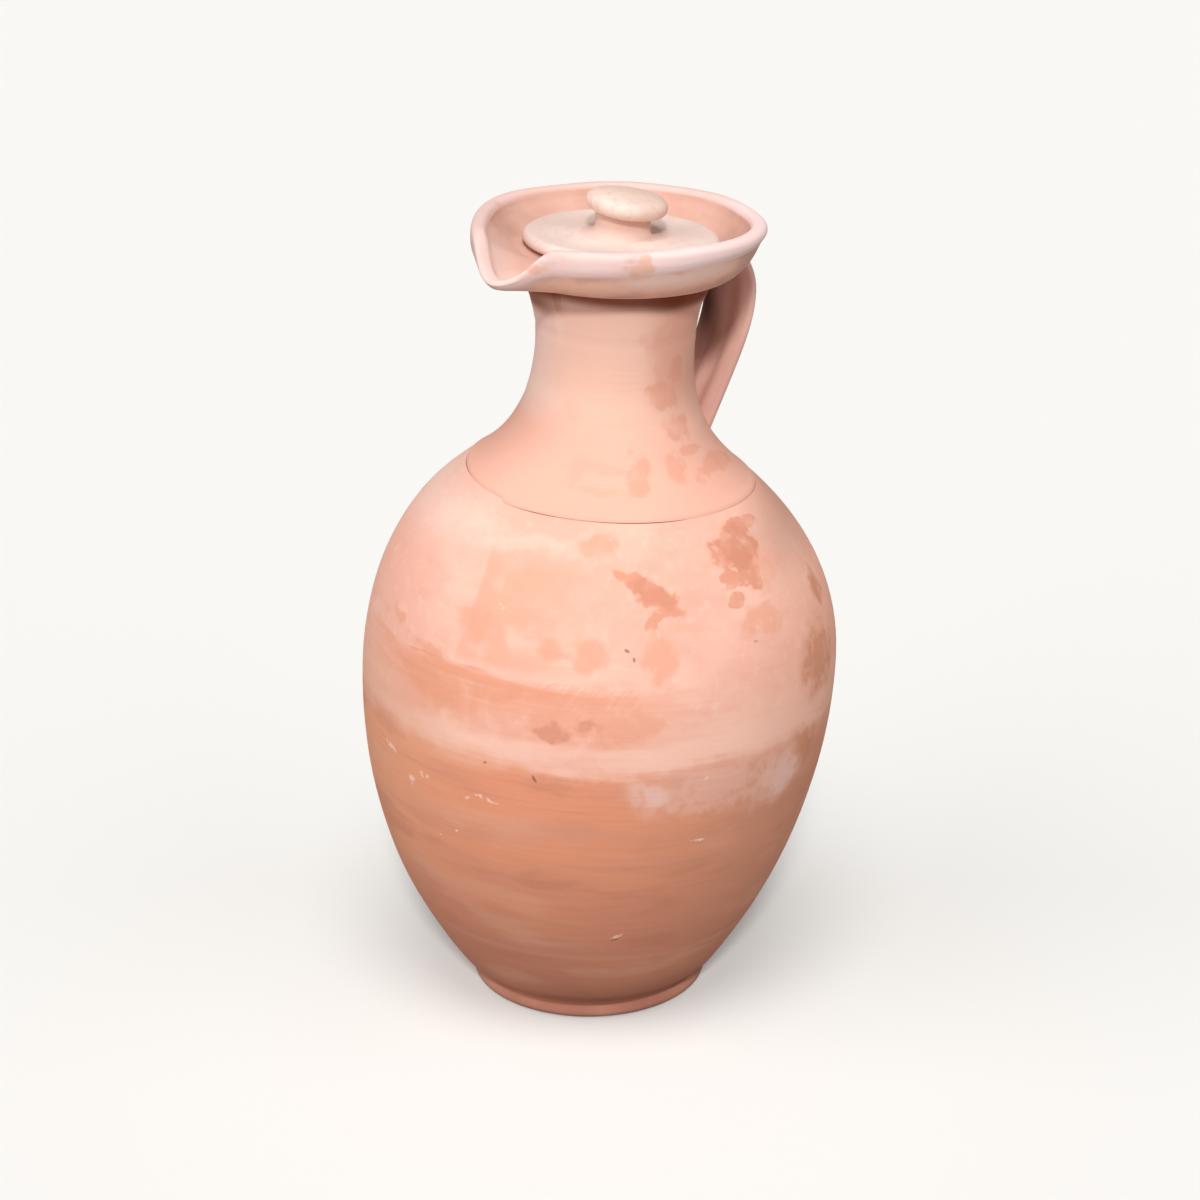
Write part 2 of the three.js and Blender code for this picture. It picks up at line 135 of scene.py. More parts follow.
# matt paper: spreads light evenly, with no gloss at all
pale_paper = bpy.data.materials.new("pale paper, matt")
pale_paper.use_nodes = True
tree = pale_paper.node_tree
tree.nodes.clear()
matt = add(tree, "BsdfDiffuse", {"Color": FLOOR_PALE})
lit = add(tree, "Emission", {"Color": BACKGROUND, "Strength": FLOOR_GLOW})
pale = add(tree, "AddShader", {0: matt.outputs[0], 1: lit.outputs[0]})
dim = add(tree, "BsdfDiffuse", {"Color": FLOOR_DIM})
both = add(tree, "MixShader", {0: looked_at(tree), 1: dim.outputs[0], 2: pale.outputs[0]})
add(tree, "OutputMaterial", {"Surface": both.outputs[0]})
floor.data.materials.append(pale_paper)
print("floor:", FLOOR_SIZE, "m square")

# %% [markdown]
# Four lamps light the jar in a dim white room. A small one stands above the camera and gives the
# dish its dark, narrow shadow on the neck. A wide one hangs overhead and darkens the floor around
# the foot, under the belly. Two very soft ones light the flanks, from the left and, weaker, from
# the right. All are sun lamps, because these light the floor evenly. Each has a name, a strength,
# the width of its disc, its height and its turn to the camera's left, in degrees.

# %% Light
LAMPS = (
    ("small lamp", 1.66, 6, 36, 0),
    ("soft overhead", 1.3, 28, 68, 0),
    ("soft left", 1.0, 60, 29, 62),
    ("soft right", 0.55, 60, 29, -62),
)
ROOM_STRENGTH = 0.13

for name, strength, disc_deg, height_deg, left_deg in LAMPS:
    height = math.radians(height_deg)
    left = math.radians(left_deg)
    level = -VIEW * math.cos(left) - ASIDE * math.sin(left)
    to_lamp = level * math.cos(height) + UP * math.sin(height)
    bpy.ops.object.light_add(type="SUN", location=to_lamp)
    lamp = bpy.context.object
    lamp.name = name
    lamp.rotation_mode = "QUATERNION"
    lamp.rotation_quaternion = to_lamp.to_track_quat("Z", "Y")
    lamp.data.energy = strength
    lamp.data.angle = math.radians(disc_deg)
    print(name, "from", tuple(round(value, 2) for value in to_lamp))

room = bpy.data.worlds.new("white room")
bpy.context.scene.world = room
room.use_nodes = True
tree = room.node_tree
tree.nodes.clear()
walls = add(tree, "Background", {"Color": shade("#ffffff"), "Strength": ROOM_STRENGTH})
paper = add(tree, "Background", {"Color": BACKGROUND, "Strength": 1})
mixed = add(tree, "MixShader", {0: looked_at(tree), 1: walls.outputs[0], 2: paper.outputs[0]})
add(tree, "OutputWorld", {"Surface": mixed.outputs[0]})

bpy.context.scene.view_settings.view_transform = "Standard"
print("room light:", ROOM_STRENGTH)

# %% [markdown]
# A thrown piece is a profile carried round an axis. By hand one would draw half the outline and
# spin it, or pull a ring of edges up step by step, as the potter pulls the wall. The second way is
# used here: a circle is extruded from point to point of the profile and scaled to each radius.
# It leaves no seam, and ring number and angle stay known for every vertex.


# %% Pulling a wall up
def deselect():
    """Leaves edit mode and selects nothing, so that the next operator acts on one piece alone."""
    if bpy.context.object and bpy.context.object.mode != "OBJECT":
        bpy.ops.object.mode_set(mode="OBJECT")
    bpy.ops.object.select_all(action="DESELECT")


def pull_rings(name, profile, sides):
    """Pulls a circle of vertices along a profile of (radius, height) pairs in millimetres."""
    deselect()
    radius, height = profile[0]
    start = (0, 0, height * MM)
    bpy.ops.mesh.primitive_circle_add(vertices=sides, radius=radius * MM, location=start)
    piece = bpy.context.object
    piece.name = name
    piece.data.name = name
    bpy.ops.object.transform_apply(location=True, rotation=True, scale=True)
    bpy.ops.object.mode_set(mode="EDIT")
    bpy.ops.mesh.select_all(action="SELECT")
    for next_radius, next_height in profile[1:]:
        rise = (0, 0, (next_height - height) * MM)
        bpy.ops.mesh.extrude_region_move(TRANSFORM_OT_translate={"value": rise})
        grow = next_radius / radius
        bpy.ops.transform.resize(value=(grow, grow, 1), center_override=(0, 0, 0))
        radius, height = next_radius, next_height
    bpy.ops.object.mode_set(mode="OBJECT")
    return piece


print("rings of clay can be pulled")

# %% [markdown]
# A pulled wall is open at both ends. Rings are picked by their number, in vertex mode, and a ring
# at an end is closed with one flat face.


# %% Picking and closing rings
def pick(piece):
    """Selects this piece alone and makes it the active one."""
    deselect()
    bpy.context.view_layer.objects.active = piece
    piece.select_set(True)


def select_rings(piece, sides, *rings):
    """Edit mode with only these rings selected; a negative ring counts from the last one."""
    pick(piece)
    count = len(piece.data.vertices) // sides
    wanted = {ring % count for ring in rings}
    bpy.ops.object.mode_set(mode="EDIT")
    bpy.ops.mesh.select_all(action="DESELECT")
    bpy.ops.object.mode_set(mode="OBJECT")
    for vertex in piece.data.vertices:
        vertex.select = vertex.index // sides in wanted
    bpy.ops.object.mode_set(mode="EDIT")
    bpy.ops.mesh.select_mode(type="VERT")


def close_ends(piece, sides):
    """Closes the piece with a flat end across its first and its last ring."""
    for ring in (0, -1):
        select_rings(piece, sides, ring)
        bpy.ops.mesh.edge_face_add()
    bpy.ops.object.mode_set(mode="OBJECT")


print("rings can be picked and closed")

# %% [markdown]
# The faces are turned outwards once doubles are merged, because a later modifier follows them. A
# wall gets its thickness on the inside by Solidify, so that its outside keeps the drawn profile.

# %% Turning faces and thickening
DOUBLES = 0.01


def face_outwards(piece):
    """Merges doubles and turns every face outwards."""
    pick(piece)
    bpy.ops.object.mode_set(mode="EDIT")
    bpy.ops.mesh.select_all(action="SELECT")
    bpy.ops.mesh.remove_doubles(threshold=DOUBLES * MM)
    bpy.ops.mesh.normals_make_consistent(inside=False)
    bpy.ops.object.mode_set(mode="OBJECT")


def modify(piece, kind, **settings):
    """Adds one modifier to the piece and applies it."""
    pick(piece)
    bpy.ops.object.modifier_add(type=kind)
    modifier = piece.modifiers[-1]
    for name, value in settings.items():
        setattr(modifier, name, value)
    bpy.ops.object.modifier_apply(modifier=modifier.name)


def thicken(piece, thickness):
    """Gives an open wall its thickness on the inside, whichever way its faces were turned."""
    face_outwards(piece)
    middle = piece.data.polygons[len(piece.data.polygons) // 2]
    if middle.normal.dot(Vector((middle.center.x, middle.center.y, 0))) < 0:
        bpy.ops.object.mode_set(mode="EDIT")
        bpy.ops.mesh.select_all(action="SELECT")
        bpy.ops.mesh.flip_normals()
        bpy.ops.object.mode_set(mode="OBJECT")
    modify(piece, "SOLIDIFY", thickness=thickness * MM, offset=-1, use_even_offset=True)


print("doubles closer than", DOUBLES, "mm are merged")

# %% [markdown]
# Every piece ends the same way: smooth shading apart from its sharp edges, and a place on its body
# instead of the plain CAD node.


# %% Finishing a piece
def smooth(piece, sharp_deg=40):
    """Smooth shading, apart from edges sharper than this."""
    pick(piece)
    bpy.ops.object.shade_smooth_by_angle(angle=math.radians(sharp_deg))


def settle(piece, body, node):
    """Lets the piece ride on its body in place of its CAD node, and says how large it is."""
    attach(piece, body)
    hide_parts(node)
    piece.data.calc_loop_triangles()
    size = [round(side / MM, 1) for side in piece.dimensions]
    print(piece.name, "mm:", size, "triangles:", len(piece.data.loop_triangles))


print("pieces can be finished")

# %% [markdown]
# Profiles are drawn with curves of two handles, as with a drawing program's pen, and with arcs.
# Both give a list of points, as radius and height in millimetres, for the rings to follow.


# %% Drawing profiles
def curve(start, lead, trail, end, steps):
    """Points along a cubic curve with two handles, without the first one."""
    ends = [Vector((*point, 0)) for point in (start, lead, trail, end)]
    return [(point.x, point.y) for point in interpolate_bezier(*ends, steps + 1)[1:]]


def arc(centre, radius, from_deg, to_deg, steps):
    """Points along an arc, both ends included."""
    points = []
    for step in range(steps + 1):
        angle = math.radians(from_deg + (to_deg - from_deg) * step / steps)
        points.append((centre[0] + radius * math.cos(angle), centre[1] + radius * math.sin(angle)))
    return points


print("a quarter arc in two steps:", arc((0, 0), 1, 0, 90, steps=2)[1])

# %% [markdown]
# The foot is a disc of clay whose edge was rolled over with a thumb. It is pulled from a small
# ring on the base, round the roll and back over the top, and closed with flat ends. The roll's
# upper side runs in an S into the crease under the belly.

# %% Foot disc
SIDES = 128
FOOT_RADIUS, FOOT_ROLL = 49, 3.2
FOOT_CONTACT_RADIUS = 44
FOOT_CREASE_RADIUS, FOOT_HEIGHT = 48, 6.5
BASE_RINGS, TOP_RINGS = (20, 40), (30, 10)

roll_width = FOOT_RADIUS - FOOT_CONTACT_RADIUS
roll_middle = (FOOT_ROLL + FOOT_HEIGHT) / 2
roll = []
for outwards, upwards in arc((0, 0), 1, -90, 0, steps=10):
    roll.append((FOOT_CONTACT_RADIUS + roll_width * outwards, FOOT_ROLL * (1 + upwards)))
foot_profile = [
    *[(radius, 0) for radius in BASE_RINGS],
    *roll,
    *curve(
        (FOOT_RADIUS, FOOT_ROLL),
        (FOOT_RADIUS, roll_middle),
        (FOOT_CREASE_RADIUS, roll_middle),
        (FOOT_CREASE_RADIUS, FOOT_HEIGHT),
        steps=8,
    ),
    *[(radius, FOOT_HEIGHT) for radius in TOP_RINGS],
]
foot = pull_rings("clay_foot", foot_profile, SIDES)
close_ends(foot, SIDES)
face_outwards(foot)
smooth(foot)
settle(foot, "jar", "foot_disc")

# %% [markdown]
# The jar leans: the belly drifts sideways as it rises and its top tilts with the neck, because the
# wet jar settled to one side. The wall is pulled upright first, then moved to the lean in code, by
# the rule that the solids follow with a slightly smaller drift, because no edit-mode tool bends by
# such a rule without a window. What stands above the shoulder joint is tilted as a whole.

# %% Lean of the jar
BELLY_HEIGHT = 142
BELLY_DRIFT = 5.1
DRIFT_START, DRIFT_END = 39, 175
NECK_TILT_DEG = 3.3
WALL = 6.5
SHOULDER = Vector((60, 223.1))
SHOULDER_SLOPE_DEG = 41

slope = math.radians(SHOULDER_SLOPE_DEG)
up_shoulder = Vector((-math.cos(slope), math.sin(slope)))
through_shoulder = Vector((-math.sin(slope), -math.cos(slope)))
tilt_top = (SHOULDER + through_shoulder * WALL).y
tilt_axis = VIEW
neck_tilt = math.radians(NECK_TILT_DEG)


def eased(value, low, high):
    """From 0 at the low value to 1 at the high one, starting and ending slowly."""
    share = min(max((value - low) / (high - low), 0), 1)
    return share * share * (3 - 2 * share)


def spine(height):
    """The point of the leaning axis at this height, in millimetres."""
    span = tilt_top - BELLY_HEIGHT
    share = min(max((height - BELLY_HEIGHT) / span, 0), 1)
    sway = neck_tilt * span * (share ** 3 - share ** 4 / 2)
    return ASIDE * (BELLY_DRIFT * eased(height, DRIFT_START, DRIFT_END) + sway) + UP * height


def lean_wall(piece):
    """Moves every vertex of an upright wall to the leaning axis."""
    for vertex in piece.data.vertices:
        point = vertex.co / MM
        rise = min(point.z, tilt_top)
        turn = Matrix.Rotation(neck_tilt * eased(rise, BELLY_HEIGHT, tilt_top), 3, tilt_axis)
        vertex.co = (turn @ (point - UP * rise) + spine(rise)) * MM


ABOVE_JOINT = (
    Matrix.Translation(spine(tilt_top) * MM)
    @ Matrix.Rotation(neck_tilt, 4, tilt_axis)
    @ Matrix.Translation(-UP * tilt_top * MM)
)


def stand_above_joint(piece, inside=Matrix.Identity(4)):
    """Stands a piece on the tilted shoulder, and leaves its object at the origin."""
    pick(piece)
    piece.matrix_world = ABOVE_JOINT @ inside
    bpy.ops.object.transform_apply(location=True, rotation=True, scale=True)


print("axis at the shoulder, mm:", tuple(round(value, 2) for value in spine(tilt_top)))

# %% [markdown]
# Some traces of the hand come back on several pieces. Where the neck was luted on, a shallow
# groove runs round the shoulder, and on the left it climbs a little, because the neck was set on
# askew. The rims are barely rounded, and a cloudy displacement leaves the dents of two hands.

# %% Traces of the hand
RIM_BEVEL, RIM_SHARP_DEG = 0.12, 50
SEAM_CLIMB, CLIMB_REACH = 3.8, 14
CLIMB_TURN, CLIMB_SPAN = math.radians(130), math.radians(55)
DENT_SIZE = 55
DENT_DEPTH = 1.1

dents = bpy.data.textures.new("dents of the hands", "CLOUDS")
dents.noise_scale = DENT_SIZE * MM
dents.noise_depth = 1


def let_seam_climb(piece):
    """Slides the clay by the seam up the shoulder on the side where the neck was set on askew."""
    for vertex in piece.data.vertices:
        radius = math.hypot(vertex.co.x, vertex.co.y) / MM
        turned = (math.atan2(vertex.co.y, vertex.co.x) - CLIMB_TURN) / CLIMB_SPAN
        away = (Vector((radius, vertex.co.z / MM)) - SHOULDER).length / CLIMB_REACH
        climb = up_shoulder * SEAM_CLIMB * math.exp(-(turned ** 2) - away ** 2)
        vertex.co.x *= 1 + climb.x / radius
        vertex.co.y *= 1 + climb.x / radius
        vertex.co.z += climb.y * MM


def round_rims(piece):
    """Rounds the sharp rims of a wall a little."""
    sharp = math.radians(RIM_SHARP_DEG)
    width = RIM_BEVEL * MM
    modify(piece, "BEVEL", width=width, segments=2, limit_method="ANGLE", angle_limit=sharp)


def dent(piece):
    """Presses the shallow dents of the hands into a piece."""
    depth = DENT_DEPTH * MM
    modify(piece, "DISPLACE", texture=dents, texture_coords="LOCAL", strength=depth, mid_level=0.5)


print("dents up to", DENT_DEPTH / 2, "mm deep")

# %% [markdown]
# The belly wall starts in the crease above the foot's roll, swells to its widest a little below
# half the jar's height and runs up to the shoulder line. It is pulled along two curves that meet at
# the widest ring, with a small fillet above the foot and half of the seam's groove at the top.

# %% Belly wall
BELLY_RADIUS = 97.2
WALL_FOOT = (48.6, 5.9)
FOOT_FLARE, FOOT_FLARE_DEG = 14, 48
FULLNESS_BELOW, FULLNESS_ABOVE = 76, 50
SHOULDER_RUN = 12.5
SEAM_WIDTH, SEAM_DEPTH = 4, 0.45
FILLET_RINGS = 5
FILLET_LEAD, FILLET_TRAIL = 2, (2.2, 2.4)

flare = math.radians(FOOT_FLARE_DEG)
flare_run = FOOT_FLARE * math.cos(flare)
flare_rise = FOOT_FLARE * math.sin(flare)
widest = (BELLY_RADIUS, BELLY_HEIGHT)
below = curve(
    WALL_FOOT,
    (WALL_FOOT[0] + flare_run, WALL_FOOT[1] + flare_rise),
    (BELLY_RADIUS, BELLY_HEIGHT - FULLNESS_BELOW),
    widest,
    steps=36,
)
above = curve(
    widest,
    (BELLY_RADIUS, BELLY_HEIGHT + FULLNESS_ABOVE),
    SHOULDER - up_shoulder * SHOULDER_RUN,
    SHOULDER - up_shoulder * SEAM_WIDTH,
    steps=28,
)
groove = []
for share in (0.75, 0.5, 0.25, 0):
    sunk = through_shoulder * SEAM_DEPTH * (1 - share) ** 2
    groove.append(tuple(SHOULDER - up_shoulder * SEAM_WIDTH * share + sunk))
crease = (FOOT_CREASE_RADIUS, FOOT_HEIGHT)
above_crease = (FOOT_CREASE_RADIUS, FOOT_HEIGHT + FILLET_LEAD)
fillet_end = below[FILLET_RINGS]
before_end = (fillet_end[0] - FILLET_TRAIL[0], fillet_end[1] - FILLET_TRAIL[1])
fillet = curve(crease, above_crease, before_end, fillet_end, steps=8)
belly_profile = [crease, *fillet, *below[FILLET_RINGS + 1:], *above, *groove]
belly = pull_rings("clay_belly", belly_profile, SIDES)
let_seam_climb(belly)
thicken(belly, WALL)
round_rims(belly)
dent(belly)
lean_wall(belly)
smooth(belly)
settle(belly, "jar", "belly_wall")

# %% [markdown]
# The neck was thrown apart and set on the shoulder, where the joint still shows as a line. Its
# outline is drawn in two curves, a wide sweep off the shoulder and a throat that opens under the
# dish. Three shallow throwing rings run round it. They are cut into the profile as narrow dips, so
# that they catch light from every side.

# %% Outline of the neck
NECK_SPREAD = 13.5
NECK_CURL = 19.9
NECK_RADIUS = 31.6
NECK_THROAT = 28
NECK_TOP_RADIUS = 35.4
NECK_TOP_HEIGHT = 306
THROAT_LEAD, THROAT_TRAIL, THROAT_SWELL = 0.4, 0.3, 1
SEAM = 0.03
# height, depth and width of each throwing ring
THROWING_RINGS = ((285, 0.3, 1.6), (254, 0.18, 2.2), (296, 0.15, 1.5))

waist_height = NECK_TOP_HEIGHT - NECK_THROAT
waist = (NECK_RADIUS, waist_height)
neck_foot = SHOULDER + up_shoulder * SEAM
sweep = curve(
    neck_foot,
    SHOULDER + up_shoulder * NECK_SPREAD,
    (NECK_RADIUS, SHOULDER.y + NECK_CURL),
    waist,
    steps=34,
)
neck_top = (NECK_TOP_RADIUS, NECK_TOP_HEIGHT)
flare_start = (NECK_RADIUS, waist_height + NECK_THROAT * THROAT_LEAD)
flare_end = (NECK_RADIUS + THROAT_SWELL, NECK_TOP_HEIGHT - NECK_THROAT * THROAT_TRAIL)
throat = curve(waist, flare_start, flare_end, neck_top, steps=18)


def ringed(radius, height):
    """The neck's radius less the dips of its throwing rings."""
    for ring_height, depth, width in THROWING_RINGS:
        radius -= depth * math.exp(-((height - ring_height) / width) ** 2)
    return radius, height


print("points along the neck:", len(sweep) + len(throat))

# %% [markdown]
# The neck's foot stands a little proud of the seam. Under the dish the neck flares out, more on the
# spout's side, and later on the handle's side. That flare changes with the angle, so it is done
# vertex by vertex, before the wall gets its thickness.

# %% Neck collar
RIM_PROUD = 0.2
RIM_RUN = (0.7, 1.4, 2.6)
# width, lowest height and direction of each flare
SIDE_FLARES = ((4, 266, 150), (1.8, 286, -40))
SIDE_FLARE_SPAN = math.radians(45)


def flare_sides(piece):
    """Widens the top of the neck on two sides."""
    for vertex in piece.data.vertices:
        angle = math.atan2(vertex.co.y, vertex.co.x)
        grow = 1
        for flare_width, flare_from, flare_deg in SIDE_FLARES:
            turned = (angle - math.radians(flare_deg)) / SIDE_FLARE_SPAN
            rise = eased(vertex.co.z / MM, flare_from, NECK_TOP_HEIGHT)
            grow += flare_width * rise ** 2 * math.exp(-(turned ** 2)) / NECK_TOP_RADIUS
        vertex.co.x *= grow
        vertex.co.y *= grow


proud = through_shoulder * RIM_PROUD
rim = [
    tuple(neck_foot + through_shoulder * SEAM_DEPTH),
    tuple(neck_foot + up_shoulder * RIM_RUN[0]),
    tuple(neck_foot + up_shoulder * RIM_RUN[1] - proud),
    tuple(neck_foot + up_shoulder * RIM_RUN[2] - proud),
]
neck_profile = rim + [ringed(*point) for point in (*sweep[2:], *throat)]
neck = pull_rings("clay_neck", neck_profile, SIDES)
flare_sides(neck)
let_seam_climb(neck)
thicken(neck, WALL)
round_rims(neck)
dent(neck)
stand_above_joint(neck)
smooth(neck)
settle(neck, "jar", "neck_collar")

# %% [markdown]
# The dish is the hardest piece. Its lip is thick and round, and on one side a finger pulled it out
# and down into a spout, steeply on the near flank and slowly on the far one. The dish is pulled as
# a plain ring first. Each vertex then moves, in code, to its place in the section that belongs to
# its own angle, because proportional editing can't hold the lip's thickness while it bends.

# %% Lip and spout
DISH_BULGE = 3.2
LIP_RADIUS = 56.7
LIP_HEIGHT = 329
LIP_BAND, LIP_BAND_SWELL = 8.2, 3
LIP_LEVEL_DEG = 1.1
SPOUT_REACH, SPOUT_DROP, SPOUT_EDGE = 14.5, 11.5, 4
SPOUT_SLACK, SPOUT_SLACK_DEG = 3, 45
SPOUT_LONG_FLANK_DEG, SPOUT_SHORT_FLANK_DEG, SPOUT_DIP_DEG = 26, 8, 9.3
SPOUT_TURN_DEG = 1.3
LIP_WAVES = ((3, 0.3, 0.4), (7, 0.15, 1.9))


def wavy(angle, waves):
    """The sum of a few waves round a rim; each has a count, a depth and a start."""
    return sum(depth * math.sin(count * angle + start) for count, depth, start in waves)


def lip_at(angle):
    """Radius, height, band depth and bulge of the dish at an angle about the axis."""
    from_spout = angle - math.pi - math.radians(SPOUT_TURN_DEG)
    flank = math.radians(SPOUT_LONG_FLANK_DEG if from_spout < 0 else SPOUT_SHORT_FLANK_DEG)
    pull = math.exp(-((from_spout / flank) ** 2))
    dip = math.exp(-(abs(from_spout / math.radians(SPOUT_DIP_DEG)) ** 3))
    slack_reach = math.radians(SPOUT_DIP_DEG if from_spout < 0 else SPOUT_SLACK_DEG)
    slack = math.exp(-((from_spout / slack_reach) ** 2))
    level = LIP_RADIUS * math.cos(angle + math.pi / 4) * math.tan(math.radians(LIP_LEVEL_DEG))
    wave = wavy(angle, LIP_WAVES)
    band = LIP_BAND + LIP_BAND_SWELL * math.cos(from_spout)
    radius = LIP_RADIUS + SPOUT_REACH * pull + wave
    height = LIP_HEIGHT + level + wave - SPOUT_DROP * dip - SPOUT_SLACK * slack
    return radius, height, band + (SPOUT_EDGE - band) * dip, DISH_BULGE * (1 - pull)


print("spout's radius and height, mm:", [round(value, 1) for value in lip_at(math.pi)[:2]])

# %% [markdown]
# A section through the dish has three stretches. The underside bulges from the neck to the crease
# under the lip, the lip is a thick band with rounded edges, and inside the wall falls to a flat
# floor round the bore, where the lid rests. The small offsets round its corners off.

# %% Section of the dish
# the seam that is left between two pieces
SLIP = 0.3
DISH_BOTTOM = NECK_TOP_HEIGHT + SLIP
DISH_ROOT_RADIUS = 38.5
DISH_FLOOR_HEIGHT = 315.5
DISH_FLOOR_RADIUS = 41
BORE_RADIUS = NECK_RADIUS - WALL
LIP_THICKNESS = 6.5
LIP_ROUND = 2.6


def dish_section(radius, height, band, bulge):
    """The section in three stretches: under the dish, over its lip, and down inside to the bore."""
    rounding = min(LIP_ROUND, band / 2)
    root = Vector((DISH_ROOT_RADIUS, DISH_BOTTOM))
    lip_crease = Vector((radius - rounding * 0.8, height - band))
    slant = lip_crease - root
    bulged = (root + lip_crease) / 2 + Vector((slant.y, -slant.x)).normalized() * bulge * 2
    inner = (radius - LIP_THICKNESS, height - rounding)
    under = [
        (BORE_RADIUS, DISH_BOTTOM),
        (DISH_ROOT_RADIUS - 1.2, DISH_BOTTOM),
        (DISH_ROOT_RADIUS - 0.2, DISH_BOTTOM + 0.3),
        *curve(root, root.lerp(bulged, 2 / 3), lip_crease.lerp(bulged, 2 / 3), lip_crease, steps=7),
    ]
    lip = [
        (radius - 0.4, height - band + rounding),
        (radius, height - band / 2),
        *arc((radius - rounding, height - rounding), rounding, 0, 90, steps=5),
        *arc((inner[0] + rounding, height - rounding), rounding, 90, 150, steps=3),
    ]
    inside = [
        *curve(
            (inner[0] + 0.3, inner[1]),
            (inner[0] - 0.6, inner[1] - 3),
            (DISH_FLOOR_RADIUS + LIP_ROUND, DISH_FLOOR_HEIGHT),
            (DISH_FLOOR_RADIUS, DISH_FLOOR_HEIGHT),
            steps=8,
        ),
        (BORE_RADIUS + 4, DISH_FLOOR_HEIGHT),
        (BORE_RADIUS + 0.8, DISH_FLOOR_HEIGHT - 0.2),
        (BORE_RADIUS, DISH_FLOOR_HEIGHT - 1),
    ]
    return under, lip, inside


plain = dish_section(LIP_RADIUS, LIP_HEIGHT, LIP_BAND, DISH_BULGE)
print("points under, over and inside the dish:", [len(stretch) for stretch in plain])

# %% [markdown]
# While the rings of the dish are still known by number, an attribute marks the ones on the lip.
# The clay's material uses it later for the pale bloom there. The rings' vertices are crowded
# towards the spout, where the section changes fastest. One subdivision then softens every edge.

# %% Pouring dish
SPOUT_CROWDING = 0.6


def soften(piece, sharp_deg, place=Matrix.Identity(4)):
    """Softens a closed piece by one subdivision, stands it above the joint and shades it."""
    face_outwards(piece)
    modify(piece, "SUBSURF", levels=1, render_levels=1)
    stand_above_joint(piece, place)
    smooth(piece, sharp_deg)


plain_under, plain_lip, plain_inside = plain
dish = pull_rings("clay_dish", plain_under + plain_lip + plain_inside, SIDES)
select_rings(dish, SIDES, 0, -1)
bpy.ops.mesh.bridge_edge_loops()
bpy.ops.object.mode_set(mode="OBJECT")
lip_bloom = dish.data.attributes.new("lip_bloom", "FLOAT", "POINT")
lip_rings = range(len(plain_under), len(plain_under) + len(plain_lip))
for vertex in dish.data.vertices:
    ring = vertex.index // SIDES
    turn = math.atan2(vertex.co.y, vertex.co.x)
    angle = (turn + SPOUT_CROWDING * math.sin(turn)) % math.tau
    under, lip, inside = dish_section(*lip_at(angle))
    radius, height = (under + lip + inside)[ring]
    vertex.co = Vector((radius * math.cos(angle), radius * math.sin(angle), height)) * MM
    lip_bloom.data[vertex.index].value = 1 if ring in lip_rings else 0
soften(dish, 60)
settle(dish, "jar", "pouring_dish")

# %% [markdown]
# The handle was pulled from a lump of clay, as one milks a rope: a flat strap with finger grooves
# along it. It leaves the dish just under the lip, bends over and runs down to the neck's flare.
# Its path is drawn first, in the plane of spout and handle, with both ends sunk into the clay.

# %% Path of the strap
HANDLE_REACH = 66.8
HANDLE_REACH_HEIGHT = NECK_TOP_HEIGHT - 16
HANDLE_ROOT = (46, (DISH_BOTTOM + DISH_FLOOR_HEIGHT) / 2)
HANDLE_FOOT_HEIGHT = SHOULDER.y + 14.5
HANDLE_SINK = 3

handle_foot = min(sweep, key=lambda point: abs(point[1] - HANDLE_FOOT_HEIGHT))
reach = (HANDLE_REACH, HANDLE_REACH_HEIGHT)
drop = HANDLE_REACH_HEIGHT - handle_foot[1]
handle_path = [
    (HANDLE_ROOT[0] - HANDLE_SINK, HANDLE_ROOT[1]),
    HANDLE_ROOT,
    *curve(
        HANDLE_ROOT,
        ((HANDLE_ROOT[0] + HANDLE_REACH) / 2, HANDLE_ROOT[1]),
        (HANDLE_REACH, (HANDLE_ROOT[1] + HANDLE_REACH_HEIGHT) / 2),
        reach,
        steps=16,
    ),
    *curve(
        reach,
        (HANDLE_REACH, HANDLE_REACH_HEIGHT - drop / 3),
        ((HANDLE_REACH + handle_foot[0]) / 2, handle_foot[1] + drop / 3),
        handle_foot,
        steps=20,
    ),
]
foot_run = Vector(handle_path[-1]) - Vector(handle_path[-2])
handle_path.append(tuple(Vector(handle_foot) + foot_run.normalized() * HANDLE_SINK))
print("steps along the strap:", len(handle_path) - 1)

# %% [markdown]
# A grooved oval is extruded along that path, turned a little at each step, and widened at both
# ends. Near the dish the strap is also smeared wider on its far edge only. An attribute marks the
# side towards the neck, for the painted shade there.

# %% Strap handle
HANDLE_WIDTH, HANDLE_THICKNESS = 25, 9
HANDLE_END_SPREAD = 3.75
HANDLE_TOP_SPREAD, HANDLE_TOP_SHARE = 6, 0.38
HANDLE_GROOVE, HANDLE_GROOVE_COUNT = 1.5, 2
STRAP_ROUNDING = 0.55
STRAP_SIDES = 48


def strap_edge(turn):
    """The strap's section at an angle: across its width and through its thickness, in mm."""
    across = math.cos(turn)
    rounded = abs(math.sin(turn)) ** STRAP_ROUNDING
    grooved = (1 + math.cos(math.pi * (HANDLE_GROOVE_COUNT + 1) * (across + 1))) / 2
    half = (HANDLE_THICKNESS / 2 - HANDLE_GROOVE * grooved) * rounded
    return across * HANDLE_WIDTH / 2, math.copysign(half, math.sin(turn))


